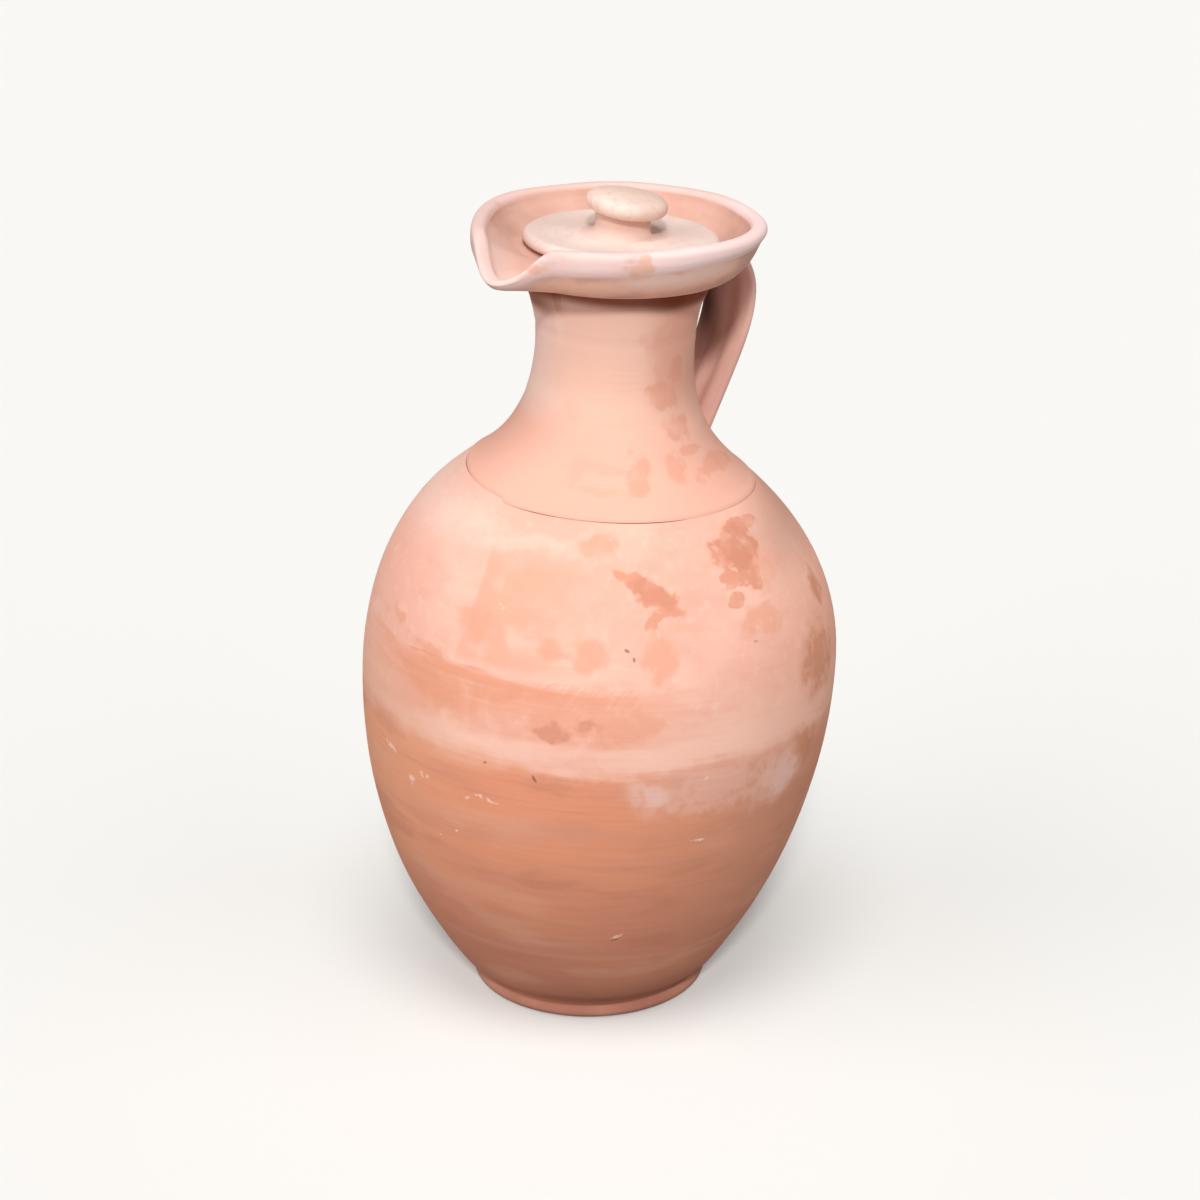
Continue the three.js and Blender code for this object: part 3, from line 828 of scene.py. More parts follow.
deselect()
bpy.ops.mesh.primitive_circle_add(vertices=STRAP_SIDES, radius=1)
handle = bpy.context.object
handle.name = "clay_handle"
handle.data.name = "clay_handle"
start = handle_path[0]
neck_side = handle.data.attributes.new("neck_side", "FLOAT", "POINT")
for vertex in handle.data.vertices:
    across, through = strap_edge(math.atan2(vertex.co.y, vertex.co.x))
    vertex.co = Vector((start[0], across, start[1] + through)) * MM
    neck_side.data[vertex.index].value = 1 if through < 0 else 0
bpy.ops.object.mode_set(mode="EDIT")
bpy.ops.mesh.select_all(action="SELECT")
heading = 0
width = HANDLE_WIDTH
spread = 1
for step in range(1, len(handle_path)):
    here, after = handle_path[step - 1], handle_path[step]
    beyond = handle_path[min(step + 1, len(handle_path) - 1)]
    move = ((after[0] - here[0]) * MM, 0, (after[1] - here[1]) * MM)
    bpy.ops.mesh.extrude_region_move(TRANSFORM_OT_translate={"value": move})
    new_heading = math.atan2(beyond[1] - here[1], beyond[0] - here[0])
    centre = (after[0] * MM, 0, after[1] * MM)
    turn = new_heading - heading
    bpy.ops.transform.rotate(value=turn, orient_axis="Y", center_override=centre)
    share = step / (len(handle_path) - 1)
    new_width = HANDLE_WIDTH + HANDLE_END_SPREAD * abs(2 * share - 1) ** 3
    bpy.ops.transform.resize(value=(1, new_width / width, 1), center_override=centre)
    smear = math.exp(-((share / HANDLE_TOP_SHARE) ** 2))
    new_spread = 1 + HANDLE_TOP_SPREAD / HANDLE_WIDTH * smear
    near_edge = (centre[0], -new_width / 2 * MM, centre[2])
    bpy.ops.transform.resize(value=(1, new_spread / spread, 1), center_override=near_edge)
    heading, width, spread = new_heading, new_width, new_spread
bpy.ops.object.mode_set(mode="OBJECT")
close_ends(handle, STRAP_SIDES)
face_outwards(handle)
dent(handle)
stand_above_joint(handle)
smooth(handle, 50)
settle(handle, "jar", "strap_handle")

# %% [markdown]
# The lid is a saucer of clay with a soft, raised edge and a ring underneath that keeps it in the
# bore. It is pulled from the middle of its underside outwards and back to the middle of its top,
# along points drawn one by one. Its edge waves a little in and out, as a disc cut by eye does.

# %% Lid plate
LID_SIDES = 128
LID_RADIUS = 39
LID_THICKNESS = 6
LID_EDGE = 2.7
LID_BEVEL_RADIUS = 31
LID_RING_RADIUS = BORE_RADIUS - 1
LID_RING_WALL, LID_RING_DEPTH, LID_RING_ROUND = 5, 7, 0.6
LID_HOLLOW = 0.9
LID_SHIFT = 0.1
LID_WAVES = ((2, 0.3, 0.8), (5, 0.25, 2.1), (9, 0.12, 0.3))

seat = DISH_FLOOR_HEIGHT + SLIP
lid_top = seat + LID_THICKNESS
ring_foot = seat - LID_RING_DEPTH
ring_inside = LID_RING_RADIUS - LID_RING_WALL
ring_middle = (LID_RING_RADIUS - LID_RING_WALL / 2, ring_foot + 1.5)
lid_profile = [
    (6, seat),
    (ring_inside - LID_RING_ROUND, seat),
    (ring_inside, seat - LID_RING_ROUND),
    (ring_inside, ring_foot + 1),
    *arc(ring_middle, LID_RING_WALL / 2 - 0.3, 200, 340, steps=6),
    (LID_RING_RADIUS, ring_foot + 2.5),
    (LID_RING_RADIUS, seat - LID_RING_ROUND),
    (LID_RING_RADIUS + LID_RING_ROUND, seat),
    (LID_BEVEL_RADIUS, seat),
    (LID_BEVEL_RADIUS + 4, seat + 0.9),
    *arc((LID_RADIUS - LID_EDGE, lid_top - LID_EDGE), LID_EDGE, -50, 100, steps=9),
    *curve(
        (LID_RADIUS - LID_EDGE - 0.5, lid_top),
        (34, lid_top - 0.1),
        (29, lid_top - LID_HOLLOW),
        (22, lid_top - LID_HOLLOW),
        steps=6,
    ),
    (16, lid_top - 0.6),
    (10, lid_top - 0.4),
]


def wave_edge(piece, waves, still_radius, edge_radius):
    """Lets a round piece's edge wave in and out, and keeps its middle still."""
    for vertex in piece.data.vertices:
        reach_out = math.hypot(vertex.co.x, vertex.co.y) / MM
        wave = wavy(math.atan2(vertex.co.y, vertex.co.x), waves)
        grow = 1 + wave * eased(reach_out, still_radius, edge_radius) / edge_radius
        vertex.co.x *= grow
        vertex.co.y *= grow


lid = pull_rings("clay_lid_plate", lid_profile, LID_SIDES)
close_ends(lid, LID_SIDES)
wave_edge(lid, LID_WAVES, LID_BEVEL_RADIUS, LID_RADIUS)
lid_place = Matrix.Translation(ASIDE * LID_SHIFT * MM)
soften(lid, 50, lid_place)
settle(lid, "lid", "lid_plate")

# %% [markdown]
# The stem is a short plug of clay that was smeared onto the plate, so it spreads at its foot, but
# hardly on the right, where the thumb cut it steep. Its top is slanted, because the knob was
# pressed on out of true.

# %% Lid stem
KNOB_SIDES = 96
STEM_RADIUS = 10.8
STEM_ROOT_RADIUS = 19
STEM_HEIGHT = 8.5
KNOB_CANT_DEG = 5.5
STEM_STEEP_SIDE = 0.8

stem_foot = lid_top - 0.6
stem_root = (STEM_ROOT_RADIUS, stem_foot - 0.4)
stem_top = lid_top + SLIP + STEM_HEIGHT
stem_profile = [
    stem_root,
    *curve(
        stem_root,
        (STEM_RADIUS + 1.2, stem_foot + 0.4),
        (STEM_RADIUS, stem_foot + 2),
        (STEM_RADIUS, stem_foot + 5),
        steps=8,
    ),
    (STEM_RADIUS + 0.2, stem_top - 1.5),
    (STEM_RADIUS + 0.7, stem_top - 0.2),
    (STEM_RADIUS - 1, stem_top),
    (4, stem_top),
]
stem = pull_rings("clay_lid_stem", stem_profile, KNOB_SIDES)
close_ends(stem, KNOB_SIDES)
for vertex in stem.data.vertices:
    point = vertex.co / MM
    reach_out = math.hypot(point.x, point.y)
    steep = STEM_STEEP_SIDE * eased(point.dot(ASIDE) / reach_out, -0.2, 0.8)
    grow = 1 - steep * max(reach_out - STEM_RADIUS, 0) / reach_out
    vertex.co.x *= grow
    vertex.co.y *= grow
    fall = point.dot(ASIDE) * math.tan(math.radians(KNOB_CANT_DEG))
    vertex.co.z -= fall * eased(point.z, stem_foot + 3, stem_top) * MM
soften(stem, 50, lid_place)
settle(stem, "lid", "lid_stem")

# %% [markdown]
# The knob is a pellet pressed flat between finger and thumb: a low dome with a blunt edge that
# waves a little. It sits canted on the stem, and a little to the right of its middle.

# %% Lid knob
KNOB_RADIUS = 16.6
KNOB_THICKNESS = 8.1
KNOB_SINK = 0.8
KNOB_EDGE = 3.6
KNOB_SHIFT = 0.8
KNOB_STILL_RADIUS = 6
KNOB_WAVES = ((2, 0.45, 0.6), (3, 0.3, 2.4), (5, 0.15, 1.1))

knob_profile = [
    (4, 0),
    (KNOB_RADIUS - KNOB_EDGE - 2, 0),
    *arc((KNOB_RADIUS - KNOB_EDGE, KNOB_EDGE), KNOB_EDGE, -80, 0, steps=6),
    *curve(
        (KNOB_RADIUS, KNOB_EDGE),
        (KNOB_RADIUS, KNOB_EDGE + 3.2),
        (KNOB_RADIUS - 4.5, KNOB_THICKNESS - 0.1),
        (3, KNOB_THICKNESS),
        steps=12,
    ),
]
knob = pull_rings("clay_lid_knob", knob_profile, KNOB_SIDES)
close_ends(knob, KNOB_SIDES)
wave_edge(knob, KNOB_WAVES, KNOB_STILL_RADIUS, KNOB_RADIUS)
knob_place = (
    lid_place
    @ Matrix.Translation(UP * stem_top * MM)
    @ Matrix.Rotation(math.radians(KNOB_CANT_DEG), 4, tilt_axis)
    @ Matrix.Translation((ASIDE * KNOB_SHIFT + UP * (SLIP - KNOB_SINK)) * MM)
)
soften(knob, 50, knob_place)
settle(knob, "lid", "lid_knob")

# %% [markdown]
# The whole jar is one soft red clay, fired low and never glazed. Its colour drifts in clouds where
# the fire was hotter, streaks follow the wheel, and mottles come from the wet hand that smoothed
# it. A clay is mixed here as on a palette: it starts from two tints, and every coat lays one more
# colour over what is there, wherever the fields that it is given lie past their limits. A field is
# a noise, a height, a side (to the right of the photograph), a depth (away from it) or a blot. Its
# first limit is where the coat begins and its second where it covers fully; for a height, a side
# or a depth these are in metres. The surface is dull and gritty and spreads light evenly. The grit
# is drawn coarser than real clay's, so that it shows.

# %% Mixing a clay
CLOUD_SIZE, MOTTLE_SIZE, RAGGED_SIZE, GRIT_SIZE = 45, 9, 5, 0.9
WHEEL_STREAKS = (38, 16)
FULL_DETAIL, SOFT_DETAIL = 4, 2
SMUDGE_SIZE, SMUDGE = 16, 12 * MM
RIDGE_HEIGHT, GRIT_HEIGHT, RELIEF = 0.4 * MM, 0.1 * MM, 0.3
CLAY_ROUGHNESS, CLAY_SPECULAR = (0.78, 0.94), 0.2
# a noise stays mostly between these
NOISE_RANGE = {"From Min": 0.3, "From Max": 0.7}


class Clay:
    """A clay in the making: its node tree, its frame on the wheel, its patterns and its colour."""

    def __init__(self, name, pale, deep, lean=0, streaks=WHEEL_STREAKS):
        self.material = bpy.data.materials.new(name)
        self.material.use_nodes = True
        self.tree = self.material.node_tree
        self.tree.nodes.clear()
        self.place = add(self.tree, "TexCoord").outputs["Object"]
        leaning = {"Vector": self.place, "Rotation": (-lean, -lean, 0)}
        self.wheel = add(self.tree, "Mapping", leaning).outputs[0]
        self.height = add(self.tree, "SeparateXYZ", {"Vector": self.wheel}).outputs["Z"]
        across = {0: self.place, 1: ASIDE}
        self.side = add(self.tree, "VectorMath", across, operation="DOT_PRODUCT").outputs["Value"]
        away = {0: self.place, 1: VIEW}
        self.depth = add(self.tree, "VectorMath", away, operation="DOT_PRODUCT").outputs["Value"]
        self.smudged = self.smudge()
        self.streaks = self.pattern(*streaks)
        self.mottle = self.pattern(MOTTLE_SIZE)
        self.ragged = self.pattern(RAGGED_SIZE, detail=SOFT_DETAIL)
        self.colour = shade(deep)
        self.coat(pale, (self.pattern(CLOUD_SIZE), 0.36, 0.64))
        self.coat(deep, (self.streaks, 0.5, 0.75), most=0.4)
        self.coat(pale, (self.mottle, 0.5, 0.7), most=0.3)

    def smudge(self):
        """Each point's place, pushed about by a soft noise, which gives marks uneven outlines."""
        soft = {"Vector": self.place, "Scale": 1 / (SMUDGE_SIZE * MM), "Detail": SOFT_DETAIL}
        centred = {0: add(self.tree, "TexNoise", soft).outputs["Color"], 1: (0.5, 0.5, 0.5)}
        push = add(self.tree, "VectorMath", centred, operation="SUBTRACT").outputs[0]
        pushed = {0: push, 1: (SMUDGE, SMUDGE, SMUDGE), 2: self.place}
        return add(self.tree, "VectorMath", pushed, operation="MULTIPLY_ADD").outputs[0]

    def pattern(self, size, flatness=1, detail=FULL_DETAIL):
        """A cloudy pattern of a size in millimetres, drawn out along the wheel this many times."""
        flat = add(self.tree, "Mapping", {"Vector": self.wheel, "Scale": (1, 1, flatness)})
        cloudy = {"Vector": flat.outputs[0], "Scale": 1 / (size * MM), "Detail": detail}
        return add(self.tree, "TexNoise", cloudy).outputs[0]

    def coat(self, colour, *limits, most=1):
        """Lays a colour over what is there, as far as each field has gone past its limits."""
        cover = most
        for field, start, full in limits:
            share = {"Value": field, "From Min": start, "From Max": full, "To Max": cover}
            cover = add(self.tree, "MapRange", share, interpolation_type="SMOOTHSTEP").outputs[0]
        layers = {0: cover, 6: self.colour, 7: shade(colour)}
        self.colour = add(self.tree, "Mix", layers, data_type="RGBA").outputs[2]

    def fire(self, piece):
        """Gives the clay its dull, gritty surface and puts it on the piece."""
        tree = self.tree
        streaky = {"Height": self.streaks, "Strength": RELIEF, "Distance": RIDGE_HEIGHT}
        ridges = add(tree, "Bump", streaky).outputs[0]
        gritty = {"Height": self.pattern(GRIT_SIZE), "Strength": RELIEF, "Distance": GRIT_HEIGHT}
        grit = add(tree, "Bump", gritty | {"Normal": ridges}).outputs[0]
        smoother, rougher = CLAY_ROUGHNESS
        dull = {"Value": self.mottle, **NOISE_RANGE, "To Min": smoother, "To Max": rougher}
        finish = {
            "Base Color": self.colour,
            "Roughness": add(tree, "MapRange", dull).outputs[0],
            "Specular IOR Level": CLAY_SPECULAR,
            "Normal": grit,
        }
        body = add(tree, "BsdfPrincipled", finish)
        add(tree, "OutputMaterial", {"Surface": body.outputs[0]})
        piece.data.materials.clear()
        piece.data.materials.append(self.material)
        print(self.material.name, "nodes:", len(tree.nodes))


print("clay ready to mix")

# %% [markdown]
# Water, lime and hands left marks on the jar: salmon blots where it got wet, brown rubs, a white
# bloom, small lime specks and pits. Each mark sits at an angle from the front and at a height. A
# ray shot at the axis finds the surface there, and a spherical gradient makes an oval on it. All
# the ovals of a kind melt into one field, and a soft noise makes their edges ragged.

# %% Marks on the clay
# an oval's field reaches this far, in sizes of its mark
MARK_REACH = 1.7
# a mark's edge lies where the field has this value
MARK_EDGE = 0.4
# fields closer than this melt together
MARK_MELT = 0.15
# a ray starts this far from the axis, in metres
RAY_START = 0.3


def oval(clay, piece, around, height, width, tall, turn=0):
    """A field that is 1 in the middle of an oval on the piece and falls to 0 well outside it."""
    angle = math.radians(around)
    out = ASIDE * math.sin(angle) - VIEW * math.cos(angle)
    spot, normal = piece.ray_cast(UP * height * MM + out * RAY_START, -out)[1:3]
    across = UP.cross(normal).normalized()
    axes = Matrix((across, -normal, normal.cross(across))).transposed()
    axes = axes @ Matrix.Rotation(math.radians(turn), 3, "Y")
    size = Vector((width, max(width, tall), tall)) * MARK_REACH / 2 * MM
    there = {"Vector": clay.smudged, "Location": spot, "Rotation": axes.to_euler(), "Scale": size}
    inside = add(clay.tree, "Mapping", there, vector_type="TEXTURE").outputs[0]
    return add(clay.tree, "TexGradient", {"Vector": inside}, gradient_type="SPHERICAL").outputs[1]


def blots(clay, piece, places, ragged=0.4, soft=0.08):
    """The limits for a coat of marks: one field of all their ovals, with ragged edges."""
    fields = [oval(clay, piece, *place) for place in places]
    joined = fields[0]
    for field in fields[1:]:
        melted = {0: joined, 1: field, 2: MARK_MELT}
        joined = add(clay.tree, "Math", melted, operation="SMOOTH_MAX").outputs[0]
    torn = {"Value": clay.ragged, **NOISE_RANGE, "To Min": 1 - ragged, "To Max": 1 + ragged}
    uneven = {0: joined, 1: add(clay.tree, "MapRange", torn).outputs[0]}
    field = add(clay.tree, "Math", uneven, operation="MULTIPLY").outputs[0]
    return field, MARK_EDGE - soft, MARK_EDGE + soft


print("an oval reaches", MARK_REACH, "times its mark")

# %% [markdown]
# The belly has three zones. The lower half is a deeper orange, since less slip was wiped on it. A
# streaky orange band lies above a pale one, and the rest is a pale pink skin, mottled by the wet
# hand and browner on the right. On the left shoulder's edge a greyish haze is partly dust and
# partly a painted sheen. The zones follow the height along the wheel's axis, and a noise drawn out
# round the wheel lets their edges waver as a wet cloth does.

# %% Skin of the belly
BELLY_LEAN = 0.03
WAVER = 2.2 * MM
WAVER_PATTERN, BRUSH_PATTERN, HAND_PATTERN, FLECK_SIZE = (26, 3), (80, 6), (14, 2.5), 4

# unglazed clay under a thin wiped slip: pale and chalky, with the darker body showing through
clay = Clay("terracotta, thrown and wiped with slip", "#f6c2ae", "#f0b4a0", BELLY_LEAN)
tree = clay.tree
brush = clay.pattern(*BRUSH_PATTERN)
unsteady = clay.pattern(*WAVER_PATTERN)
wavering = {"Value": unsteady, **NOISE_RANGE, "To Min": -WAVER, "To Max": WAVER}
waver = add(tree, "MapRange", wavering).outputs[0]
level = add(tree, "Math", {0: clay.height, 1: waver}, operation="ADD").outputs[0]

clay.coat("#e8a68e", (clay.pattern(*HAND_PATTERN), 0.48, 0.72), most=0.35)
clay.coat("#fbd0c0", (clay.pattern(FLECK_SIZE), 0.52, 0.7), most=0.25)
clay.coat("#fac8b5", (level, 0.160, 0.147), (brush, 0.25, 0.55), most=0.8)
clay.coat("#efae8d", (level, 0.166, 0.148), (clay.side, -0.045, -0.080), most=0.45)
clay.coat("#e9a686", (clay.height, 0.212, 0.188), (clay.side, 0.050, 0.090), most=0.25)
clay.coat("#c2937f", (clay.height, 0.190, 0.214), (clay.side, 0.050, 0.085), most=0.75)
# partly dust, partly painted sheen: a greyish haze towards the left shoulder's edge
clay.coat("#f2d6cb", (clay.height, 0.196, 0.218), (clay.side, -0.032, -0.066), most=0.5)
print("skin of the belly laid")

# %% [markdown]
# On the left of the belly a cloth was drawn down and stopped, which left a slanting step from pale
# to pink. Lower down the streaky band begins on the left, with a soft orange below its crisp upper
# edge, and in front a comb or a dry brush crossed it with fine slanting strokes. The step and the
# strokes are kept to the front, since the photograph shows no more of them.

# %% Wipes of the belly
WIPE_SLANT = 0.373
WIPE_EDGE, WIPE_FADE = (-0.1162, -0.1142), (-0.060, -0.095)
WIPE_FOOT, WIPE_TOP = (0.168, 0.174), (0.216, 0.205)
BAND_EDGE, BAND_CRISP = 0.169, 0.9 * MM
STROKE_TURN_DEG = -48
STROKE_SIZE = (20 * MM, 20 * MM, 1.1 * MM)

in_front = (clay.depth, 0.03, 0.0)
slant = {0: clay.height, 1: -WIPE_SLANT, 2: clay.side}
slanted = add(tree, "Math", slant, operation="MULTIPLY_ADD").outputs[0]
clay.coat(
    "#f0a98f",
    (slanted, *WIPE_EDGE),
    (slanted, *WIPE_FADE),
    (clay.height, *WIPE_FOOT),
    (clay.height, *WIPE_TOP),
    (clay.mottle, 0.1, 0.6),
    in_front,
    most=0.8,
)

stroke_turn = (0, math.radians(STROKE_TURN_DEG), math.radians(FRONT_TURN_DEG))
stroke = {"Vector": clay.place, "Rotation": stroke_turn, "Scale": STROKE_SIZE}
along_stroke = add(tree, "Mapping", stroke, vector_type="TEXTURE").outputs[0]
bristles = {"Vector": along_stroke, "Scale": 1, "Detail": SOFT_DETAIL}
strokes = add(tree, "TexNoise", bristles).outputs[0]
band = ((level, BAND_EDGE + BAND_CRISP, BAND_EDGE - BAND_CRISP), (level, 0.148, 0.166))
soft_band = ((level, 0.168, 0.165), (level, 0.1415, 0.1475))
left_half = ((clay.side, 0.055, 0.0), (clay.side, -0.088, -0.062))
left_part = ((clay.side, 0.05, -0.03), (clay.side, -0.094, -0.070))
combed = ((clay.side, -0.032, -0.012), (clay.side, 0.03, 0.012), in_front, (strokes, 0.42, 0.6))
clay.coat("#eaa58b", *soft_band, *left_half, (clay.mottle, 0.2, 0.55), most=0.75)
clay.coat("#e79c7e", *band, *left_part, (clay.streaks, 0.3, 0.6), most=0.8)
clay.coat("#e79e82", *band, *combed, most=0.4)
print("wipes of the belly laid")

# %% [markdown]
# The lower half was left rough from the wheel. Its upper edge follows the wheel, torn by streaks
# and softer towards the flanks. Its orange turns browner to the right and darker towards the foot,
# broad wisps of slip cross it, and a faint pale ring runs round near the foot, where the wire that
# cut the jar off pushed the clay up.

# %% Lower half of the belly
STREAKY_EDGE = 8 * MM
LOWER_EDGE = 0.1325 + STREAKY_EDGE
EDGE_BLUR, FLANK_BLUR = 4.5 * MM, 8 * MM
WISP_PATTERN = (60, 3.5)

off_centre = add(tree, "Math", {0: clay.side}, operation="ABSOLUTE").outputs[0]
softer = {"Value": off_centre, "From Min": 0.01, "From Max": 0.06}
softer |= {"To Min": EDGE_BLUR, "To Max": FLANK_BLUR}
blur = add(tree, "MapRange", softer).outputs[0]
edge_top = add(tree, "Math", {0: blur, 1: LOWER_EDGE}, operation="ADD").outputs[0]
edge_bottom = add(tree, "Math", {0: LOWER_EDGE, 1: blur}, operation="SUBTRACT").outputs[0]
torn = {0: clay.mottle, 1: STREAKY_EDGE, 2: level}
torn_level = add(tree, "Math", torn, operation="MULTIPLY_ADD").outputs[0]
streaky = {0: clay.streaks, 1: STREAKY_EDGE, 2: torn_level}
streaky_level = add(tree, "Math", streaky, operation="MULTIPLY_ADD").outputs[0]
lower = (streaky_level, edge_top, edge_bottom)
wisps = clay.pattern(*WISP_PATTERN)

clay.coat("#ea9b78", lower)
clay.coat("#dc947b", lower, (brush, 0.42, 0.62), most=0.55)
clay.coat("#cf9177", lower, (clay.side, 0.0, 0.08), most=0.7)
clay.coat("#f2af8d", lower, (clay.side, -0.045, -0.085), most=0.5)
clay.coat("#bd7d66", lower, (clay.height, 0.1, 0.02), most=0.75)
clay.coat("#c9846a", lower, (clay.streaks, 0.5, 0.75), most=0.25)
clay.coat("#eab096", lower, (wisps, 0.52, 0.68), most=0.3)
clay.coat("#b9765d", lower, (wisps, 0.46, 0.34), most=0.3)
clay.coat("#d69a82", (clay.height, 0.0435, 0.0413), (clay.height, 0.0388, 0.0410), most=0.4)
# painted shade: darker in the crease just above the foot, fading out to the left
clay.coat("#8a5544", (clay.height, 0.030, 0.0075), (clay.side, -0.045, 0.0), most=0.6)
print("lower half of the belly laid")

# %% [markdown]
# The belly's marks were read off the photograph, as an angle from the front in degrees and a
# height, a width and a tallness in millimetres. A fifth number turns a mark that runs down to the
# right.

# %% Marks on the belly
PALE = ((-48, 219, 34, 14), (-21, 216, 44, 8), (-17, 183, 12, 8))
FAINT = (
    (10, 152, 26, 11), (4, 216, 14, 9), (18, 178, 13, 16), (-8, 153, 36, 9), (51, 202, 24, 16),
    (-31, 186, 14, 11), (47, 184, 22, 10), (-8, 183, 10, 8), (0, 180, 15, 14),
)
SALMON = (
    (55, 215, 23, 9), (48, 209, 30, 15), (42, 200, 13, 10), (49, 200, 12, 11), (41, 192, 8, 6),
    (8, 208, 10, 5, 30), (13, 204, 15, 8, 40), (19, 197, 18, 10, 20), (17, 190, 7, 8),
)
SPOTS = ((-8, 150.5, 13, 4.5), (0, 154.5, 11, 4))
DEEP_SALMON = ((49, 210, 26, 17), (17, 200, 20, 9, 35))
RUSTY = ((-43, 172, 24, 6, 12), (-40, 160, 40, 11, 8), (-22, 163, 22, 7), (-58, 179, 14, 4, 20))
BROWN = (
    (67, 159, 28, 24), (75, 184, 10, 12), (23, 128, 18, 3), (45, 127, 20, 8), (59, 124, 20, 18),
)
HAZE = ((30, 122, 56, 20), (48, 119, 30, 24))
BLOOM = ((14, 124, 17, 9, 25), (51, 118, 20, 16))
LIME = (
    (-23, 194, 4, 4), (7, 217, 2, 2), (-24, 118, 10, 2, 15), (-29, 118, 5, 1.5), (-48, 116, 3, 6),
    (-43, 122, 6, 2), (-58, 126, 9, 2, 20), (-40, 95, 2, 1.5), (-35, 98, 2, 1.5), (29, 128, 2, 2),
    (27, 98, 5, 1.5), (8, 55, 6, 2, -30),
)
PITS = (
    (9, 181, 2, 2), (11, 178, 1.4, 1.4), (37, 156, 2, 2), (-12, 130, 1.5, 4), (44, 176, 2, 1.5),
    (-25, 135, 2, 2), (8, 53, 5, 1.5, -30),
)
LIME_SIZE = 2.5

uneven = (clay.mottle, 0.1, 0.55)
flaky = (clay.pattern(LIME_SIZE), 0.42, 0.55)
clay.coat("#fcd4c3", blots(clay, belly, PALE, soft=0.38), most=0.4)
clay.coat("#eaa58b", blots(clay, belly, FAINT, soft=0.2), uneven, most=0.75)
clay.coat("#dd957a", blots(clay, belly, SALMON), uneven, most=0.8)
clay.coat("#d0896f", blots(clay, belly, DEEP_SALMON, soft=0.2), uneven, most=0.6)
clay.coat("#d8917b", blots(clay, belly, SPOTS, ragged=0.7, soft=0.25), uneven, most=0.75)
clay.coat("#e79c7d", blots(clay, belly, RUSTY, soft=0.35), uneven, most=0.65)
clay.coat("#cf8b6c", blots(clay, belly, BROWN, soft=0.3), uneven, most=0.8)
clay.coat("#ebb5a2", blots(clay, belly, HAZE, soft=0.35), most=0.8)
clay.coat("#eec4b7", blots(clay, belly, BLOOM, soft=0.35), (wisps, 0.3, 0.6), most=0.7)
clay.coat("#f8d3be", blots(clay, belly, LIME, soft=0.2), flaky, most=0.8)
clay.coat("#8a5a45", blots(clay, belly, PITS, soft=0.2), most=0.7)
clay.fire(belly)

# %% [markdown]
# The neck was turned finer than the belly. Its clay is paler on the left and deeper on the right.
# Towards the top it is painted paler, as light where the dish shades it, and at the foot, which
# faces up, it is painted deeper, as shade against the light from above. Under the dish a painted
# shadow darkens the neck, and more wet blots run down the right side.

# %% Neck clay
NECK_LEAN = 0.0407
NECK_SALMON = (
    (25, 237, 12, 17), (55, 250, 14, 11), (44, 235, 8, 14), (71, 233, 32, 9), (57, 241, 20, 5),
    (45, 264, 14, 11), (60, 272, 10, 13),
)
NECK_FAINT = (
    (-7, 236, 5, 12), (4, 239, 22, 4), (6, 232, 19, 4), (58, 285, 26, 22), (47, 274, 5, 12),
)

# unglazed clay turned with a wet rib: even and fine, with faint streaks
clay = Clay("terracotta, turned smooth", "#fac8b2", "#f3bba5", NECK_LEAN)
uneven = (clay.mottle, 0.1, 0.55)
left_light = ((clay.side, -0.002, -0.026), (clay.height, 0.246, 0.262), (clay.height, 0.300, 0.288))
# painted shade: the neck's foot, which faces up, is deeper, against the light from above
clay.coat("#efb49f", (clay.height, 0.262, 0.238), most=0.8)
# painted light: the upper neck is paler where the dish shades it
clay.coat("#ffcfbc", (clay.height, 0.268, 0.287), most=0.95)
clay.coat("#ffe0d4", *left_light, most=0.7)
clay.coat("#dd9f89", (clay.side, 0.018, 0.036), (clay.height, 0.250, 0.268), most=0.6)
clay.coat("#eeae97", blots(clay, neck, NECK_FAINT, soft=0.25), uneven, most=0.7)
clay.coat("#e6a087", blots(clay, neck, NECK_SALMON, soft=0.14), uneven, most=0.65)
# painted shadow: a dark band round the top of the neck, under the dish
clay.coat("#904832", (clay.height, 0.2985, 0.3030), most=0.9)
# painted shadow: the band under the dish carried on at the neck's left and right
clay.coat("#7e3c23", (clay.height, 0.2900, 0.2965), (clay.side, -0.006, -0.022), most=0.85)
clay.coat("#7e3c23", (clay.height, 0.2965, 0.3015), (clay.side, 0.018, 0.034), most=0.85)
clay.fire(neck)

# %% [markdown]
# The lip of the dish has a whitish pink bloom: salts that the water left where the jar dried last.
# It is streaked along the lip, rubbed off in a few places where the orange clay shows, and it ran
# down over the underside in front, which is also painted pale as light on clay that faces down.
# The inside of the dish stays orange, apart from a paler spout.

# %% Dish clay
LIP_RUBS = ((21, 321, 9, 5), (21, 325, 5, 5), (-21, 320, 8, 3))
UNDERSIDE = ((31, 314, 40, 12), (50, 317, 30, 12), (0, 312, 50, 10), (-15, 312, 30, 8))
RUN_DOWN = ((31, 315, 34, 6), (46, 318, 24, 6))
LIP_STREAKS = (16, 9)

# unglazed clay with dried salts on its rim: orange inside, whitish and streaked on the lip
clay = Clay("terracotta, lip with salt bloom", "#e5b9a9", "#d2a290", NECK_LEAN, LIP_STREAKS)
lip = add(clay.tree, "Attribute", attribute_name="lip_bloom").outputs["Fac"]
to_handle = add(clay.tree, "SeparateXYZ", {"Vector": clay.place}).outputs["X"]
on_lip = (lip, 0.2, 0.9)
at_front = (clay.depth, 0.042, 0.016)
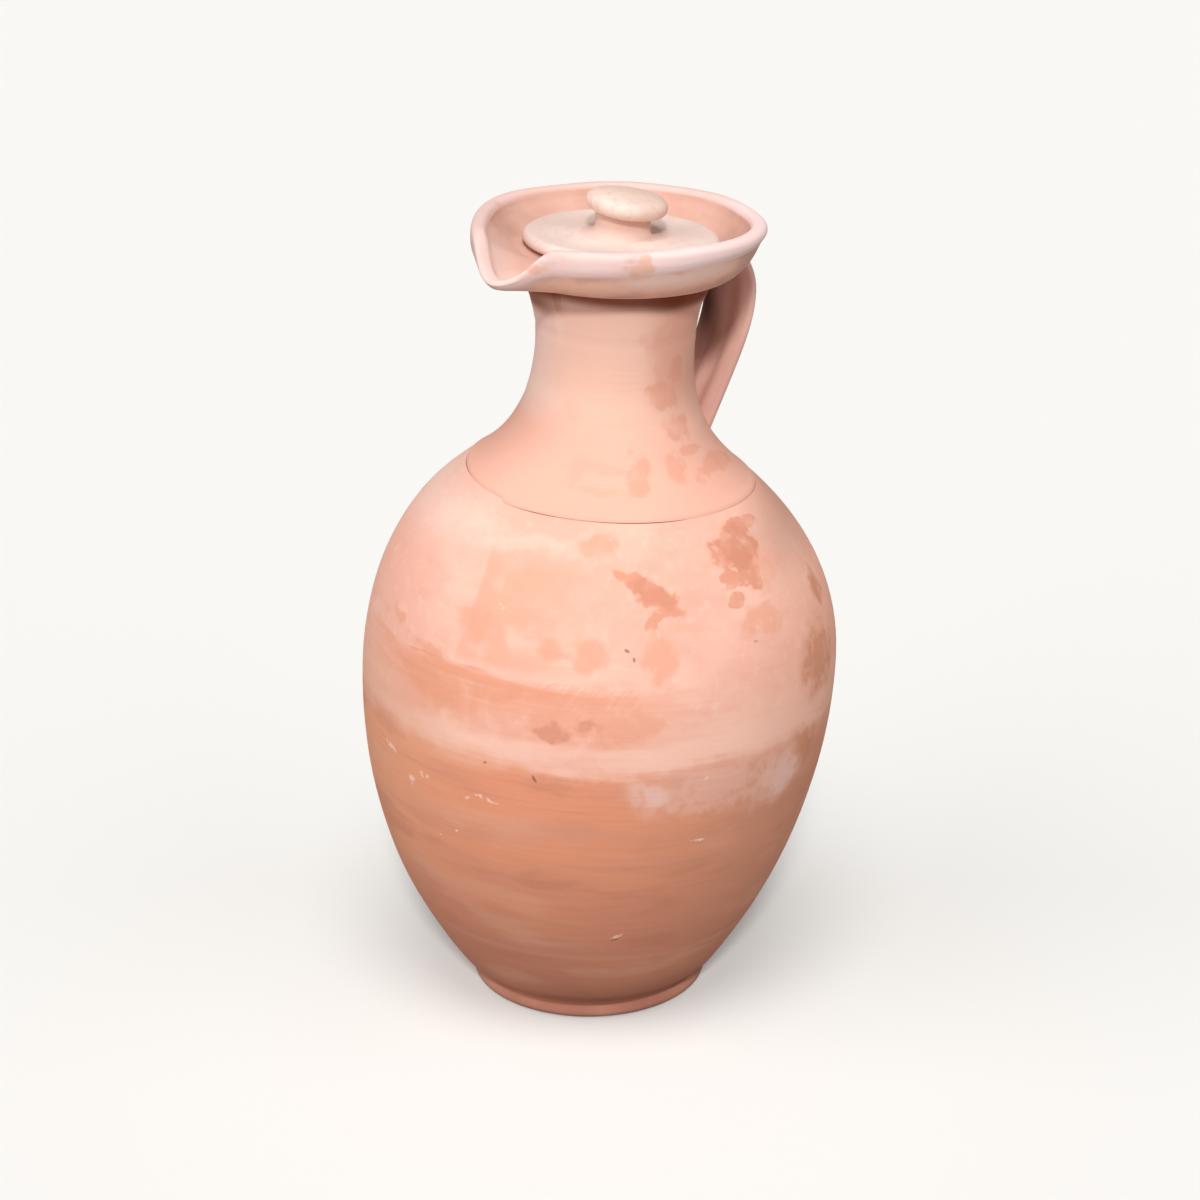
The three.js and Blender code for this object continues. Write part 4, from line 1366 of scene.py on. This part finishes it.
# partly bloom, partly painted light: the front of the underside, which faces down, is painted pale
clay.coat("#ffcbb4", blots(clay, dish, UNDERSIDE, ragged=0.15, soft=0.35))
clay.coat("#f9d6cc", blots(clay, dish, RUN_DOWN, ragged=0.15, soft=0.35), most=0.8)
clay.coat("#e6c9bf", (to_handle, -0.038, -0.056), most=0.8)
clay.coat("#f2d0c8", (lip, 0.6, 1), (clay.height, 0.3255, 0.3285), most=0.7)
clay.coat("#f5d0c9", on_lip, at_front, (clay.mottle, 0.1, 0.5))
clay.coat("#f2d6d2", on_lip, at_front, (clay.streaks, 0.45, 0.65), most=0.8)
clay.coat("#fcdcd8", on_lip, at_front, (clay.side, 0.010, 0.040), most=0.8)
clay.coat("#e6c2b8", on_lip, (clay.side, -0.020, -0.050), most=0.7)
clay.coat("#f0bda9", blots(clay, dish, LIP_RUBS, soft=0.15))
clay.fire(dish)

# %% [markdown]
# The strap was pulled wet, so its streaks run along it. It is a pale pink, duller towards its
# foot from handling, and near the dish the side towards the neck is painted dark brown, as the
# shade that the dish and neck cast on it.

# %% Handle clay
STRAP_STREAKS = (4, 0.12)

# unglazed clay pulled by a wet hand: long streaks, dulled by handling
clay = Clay("terracotta, pulled and handled", "#fcd0c2", "#ebb5a4", NECK_LEAN, STRAP_STREAKS)
inner = add(clay.tree, "Attribute", attribute_name="neck_side").outputs["Fac"]
to_neck = (inner, 0.3, 0.9)
clay.coat("#cf9686", (clay.height, 0.285, 0.262), most=0.6)
# painted shade: the strap's side towards the neck, near the dish, darkest along its inner edge
clay.coat("#a26b5b", to_neck, (clay.height, 0.268, 0.295), (clay.side, 0.066, 0.052), most=0.35)
clay.coat("#4a261c", to_neck, (clay.side, 0.057, 0.048), (clay.height, 0.258, 0.282), most=0.95)
clay.fire(handle)

# %% [markdown]
# The foot was rubbed on the table, and dust sits on the lid. Plate, stem and knob have their own
# tints: beige on the plate, rosier on the stem, pale on the knob. The plate is also greyer at the
# back and on the left, which is painted shade. Dust also lies round the stem's foot, so that it
# fades into the plate, and fine darker specks are scattered over plate and knob.

# %% Foot and lid clay
SPECK_SIZE = 3

# unglazed clay rubbed on a table: darker and closer in grain
clay = Clay("terracotta, rolled and rubbed", "#c58a74", "#b07462")
clay.fire(foot)

# unglazed clay under settled dust: pale, greyish and speckled
clay = Clay("terracotta, dusty plate with painted shade", "#f6e0d6", "#ecd2c6", NECK_LEAN)
# painted shade: the back of the plate is greyer
clay.coat("#d2b8aa", (clay.depth, -0.004, 0.018), most=0.3)
# painted shade: the left of the plate is greyer
clay.coat("#dcbfb2", (clay.side, 0.000, -0.030), most=0.6)
clay.coat("#d9bcae", (clay.pattern(SPECK_SIZE), 0.5, 0.65), most=0.25)
clay.fire(lid)

# unglazed clay smeared with a thumb: bare and rosy above, dust at its foot
clay = Clay("terracotta, smeared stem", "#e2c1b3", "#d8b1a1", NECK_LEAN)
clay.coat("#ebcdc0", (clay.height, 0.3262, 0.3225))
clay.fire(stem)

# unglazed clay pinched between two fingers: pale where hands polished it, with specks
clay = Clay("terracotta, pinched knob", "#f6dccf", "#e6c4b5", NECK_LEAN)
clay.coat("#d8b4a3", (clay.pattern(SPECK_SIZE), 0.5, 0.65), most=0.3)
clay.fire(knob)
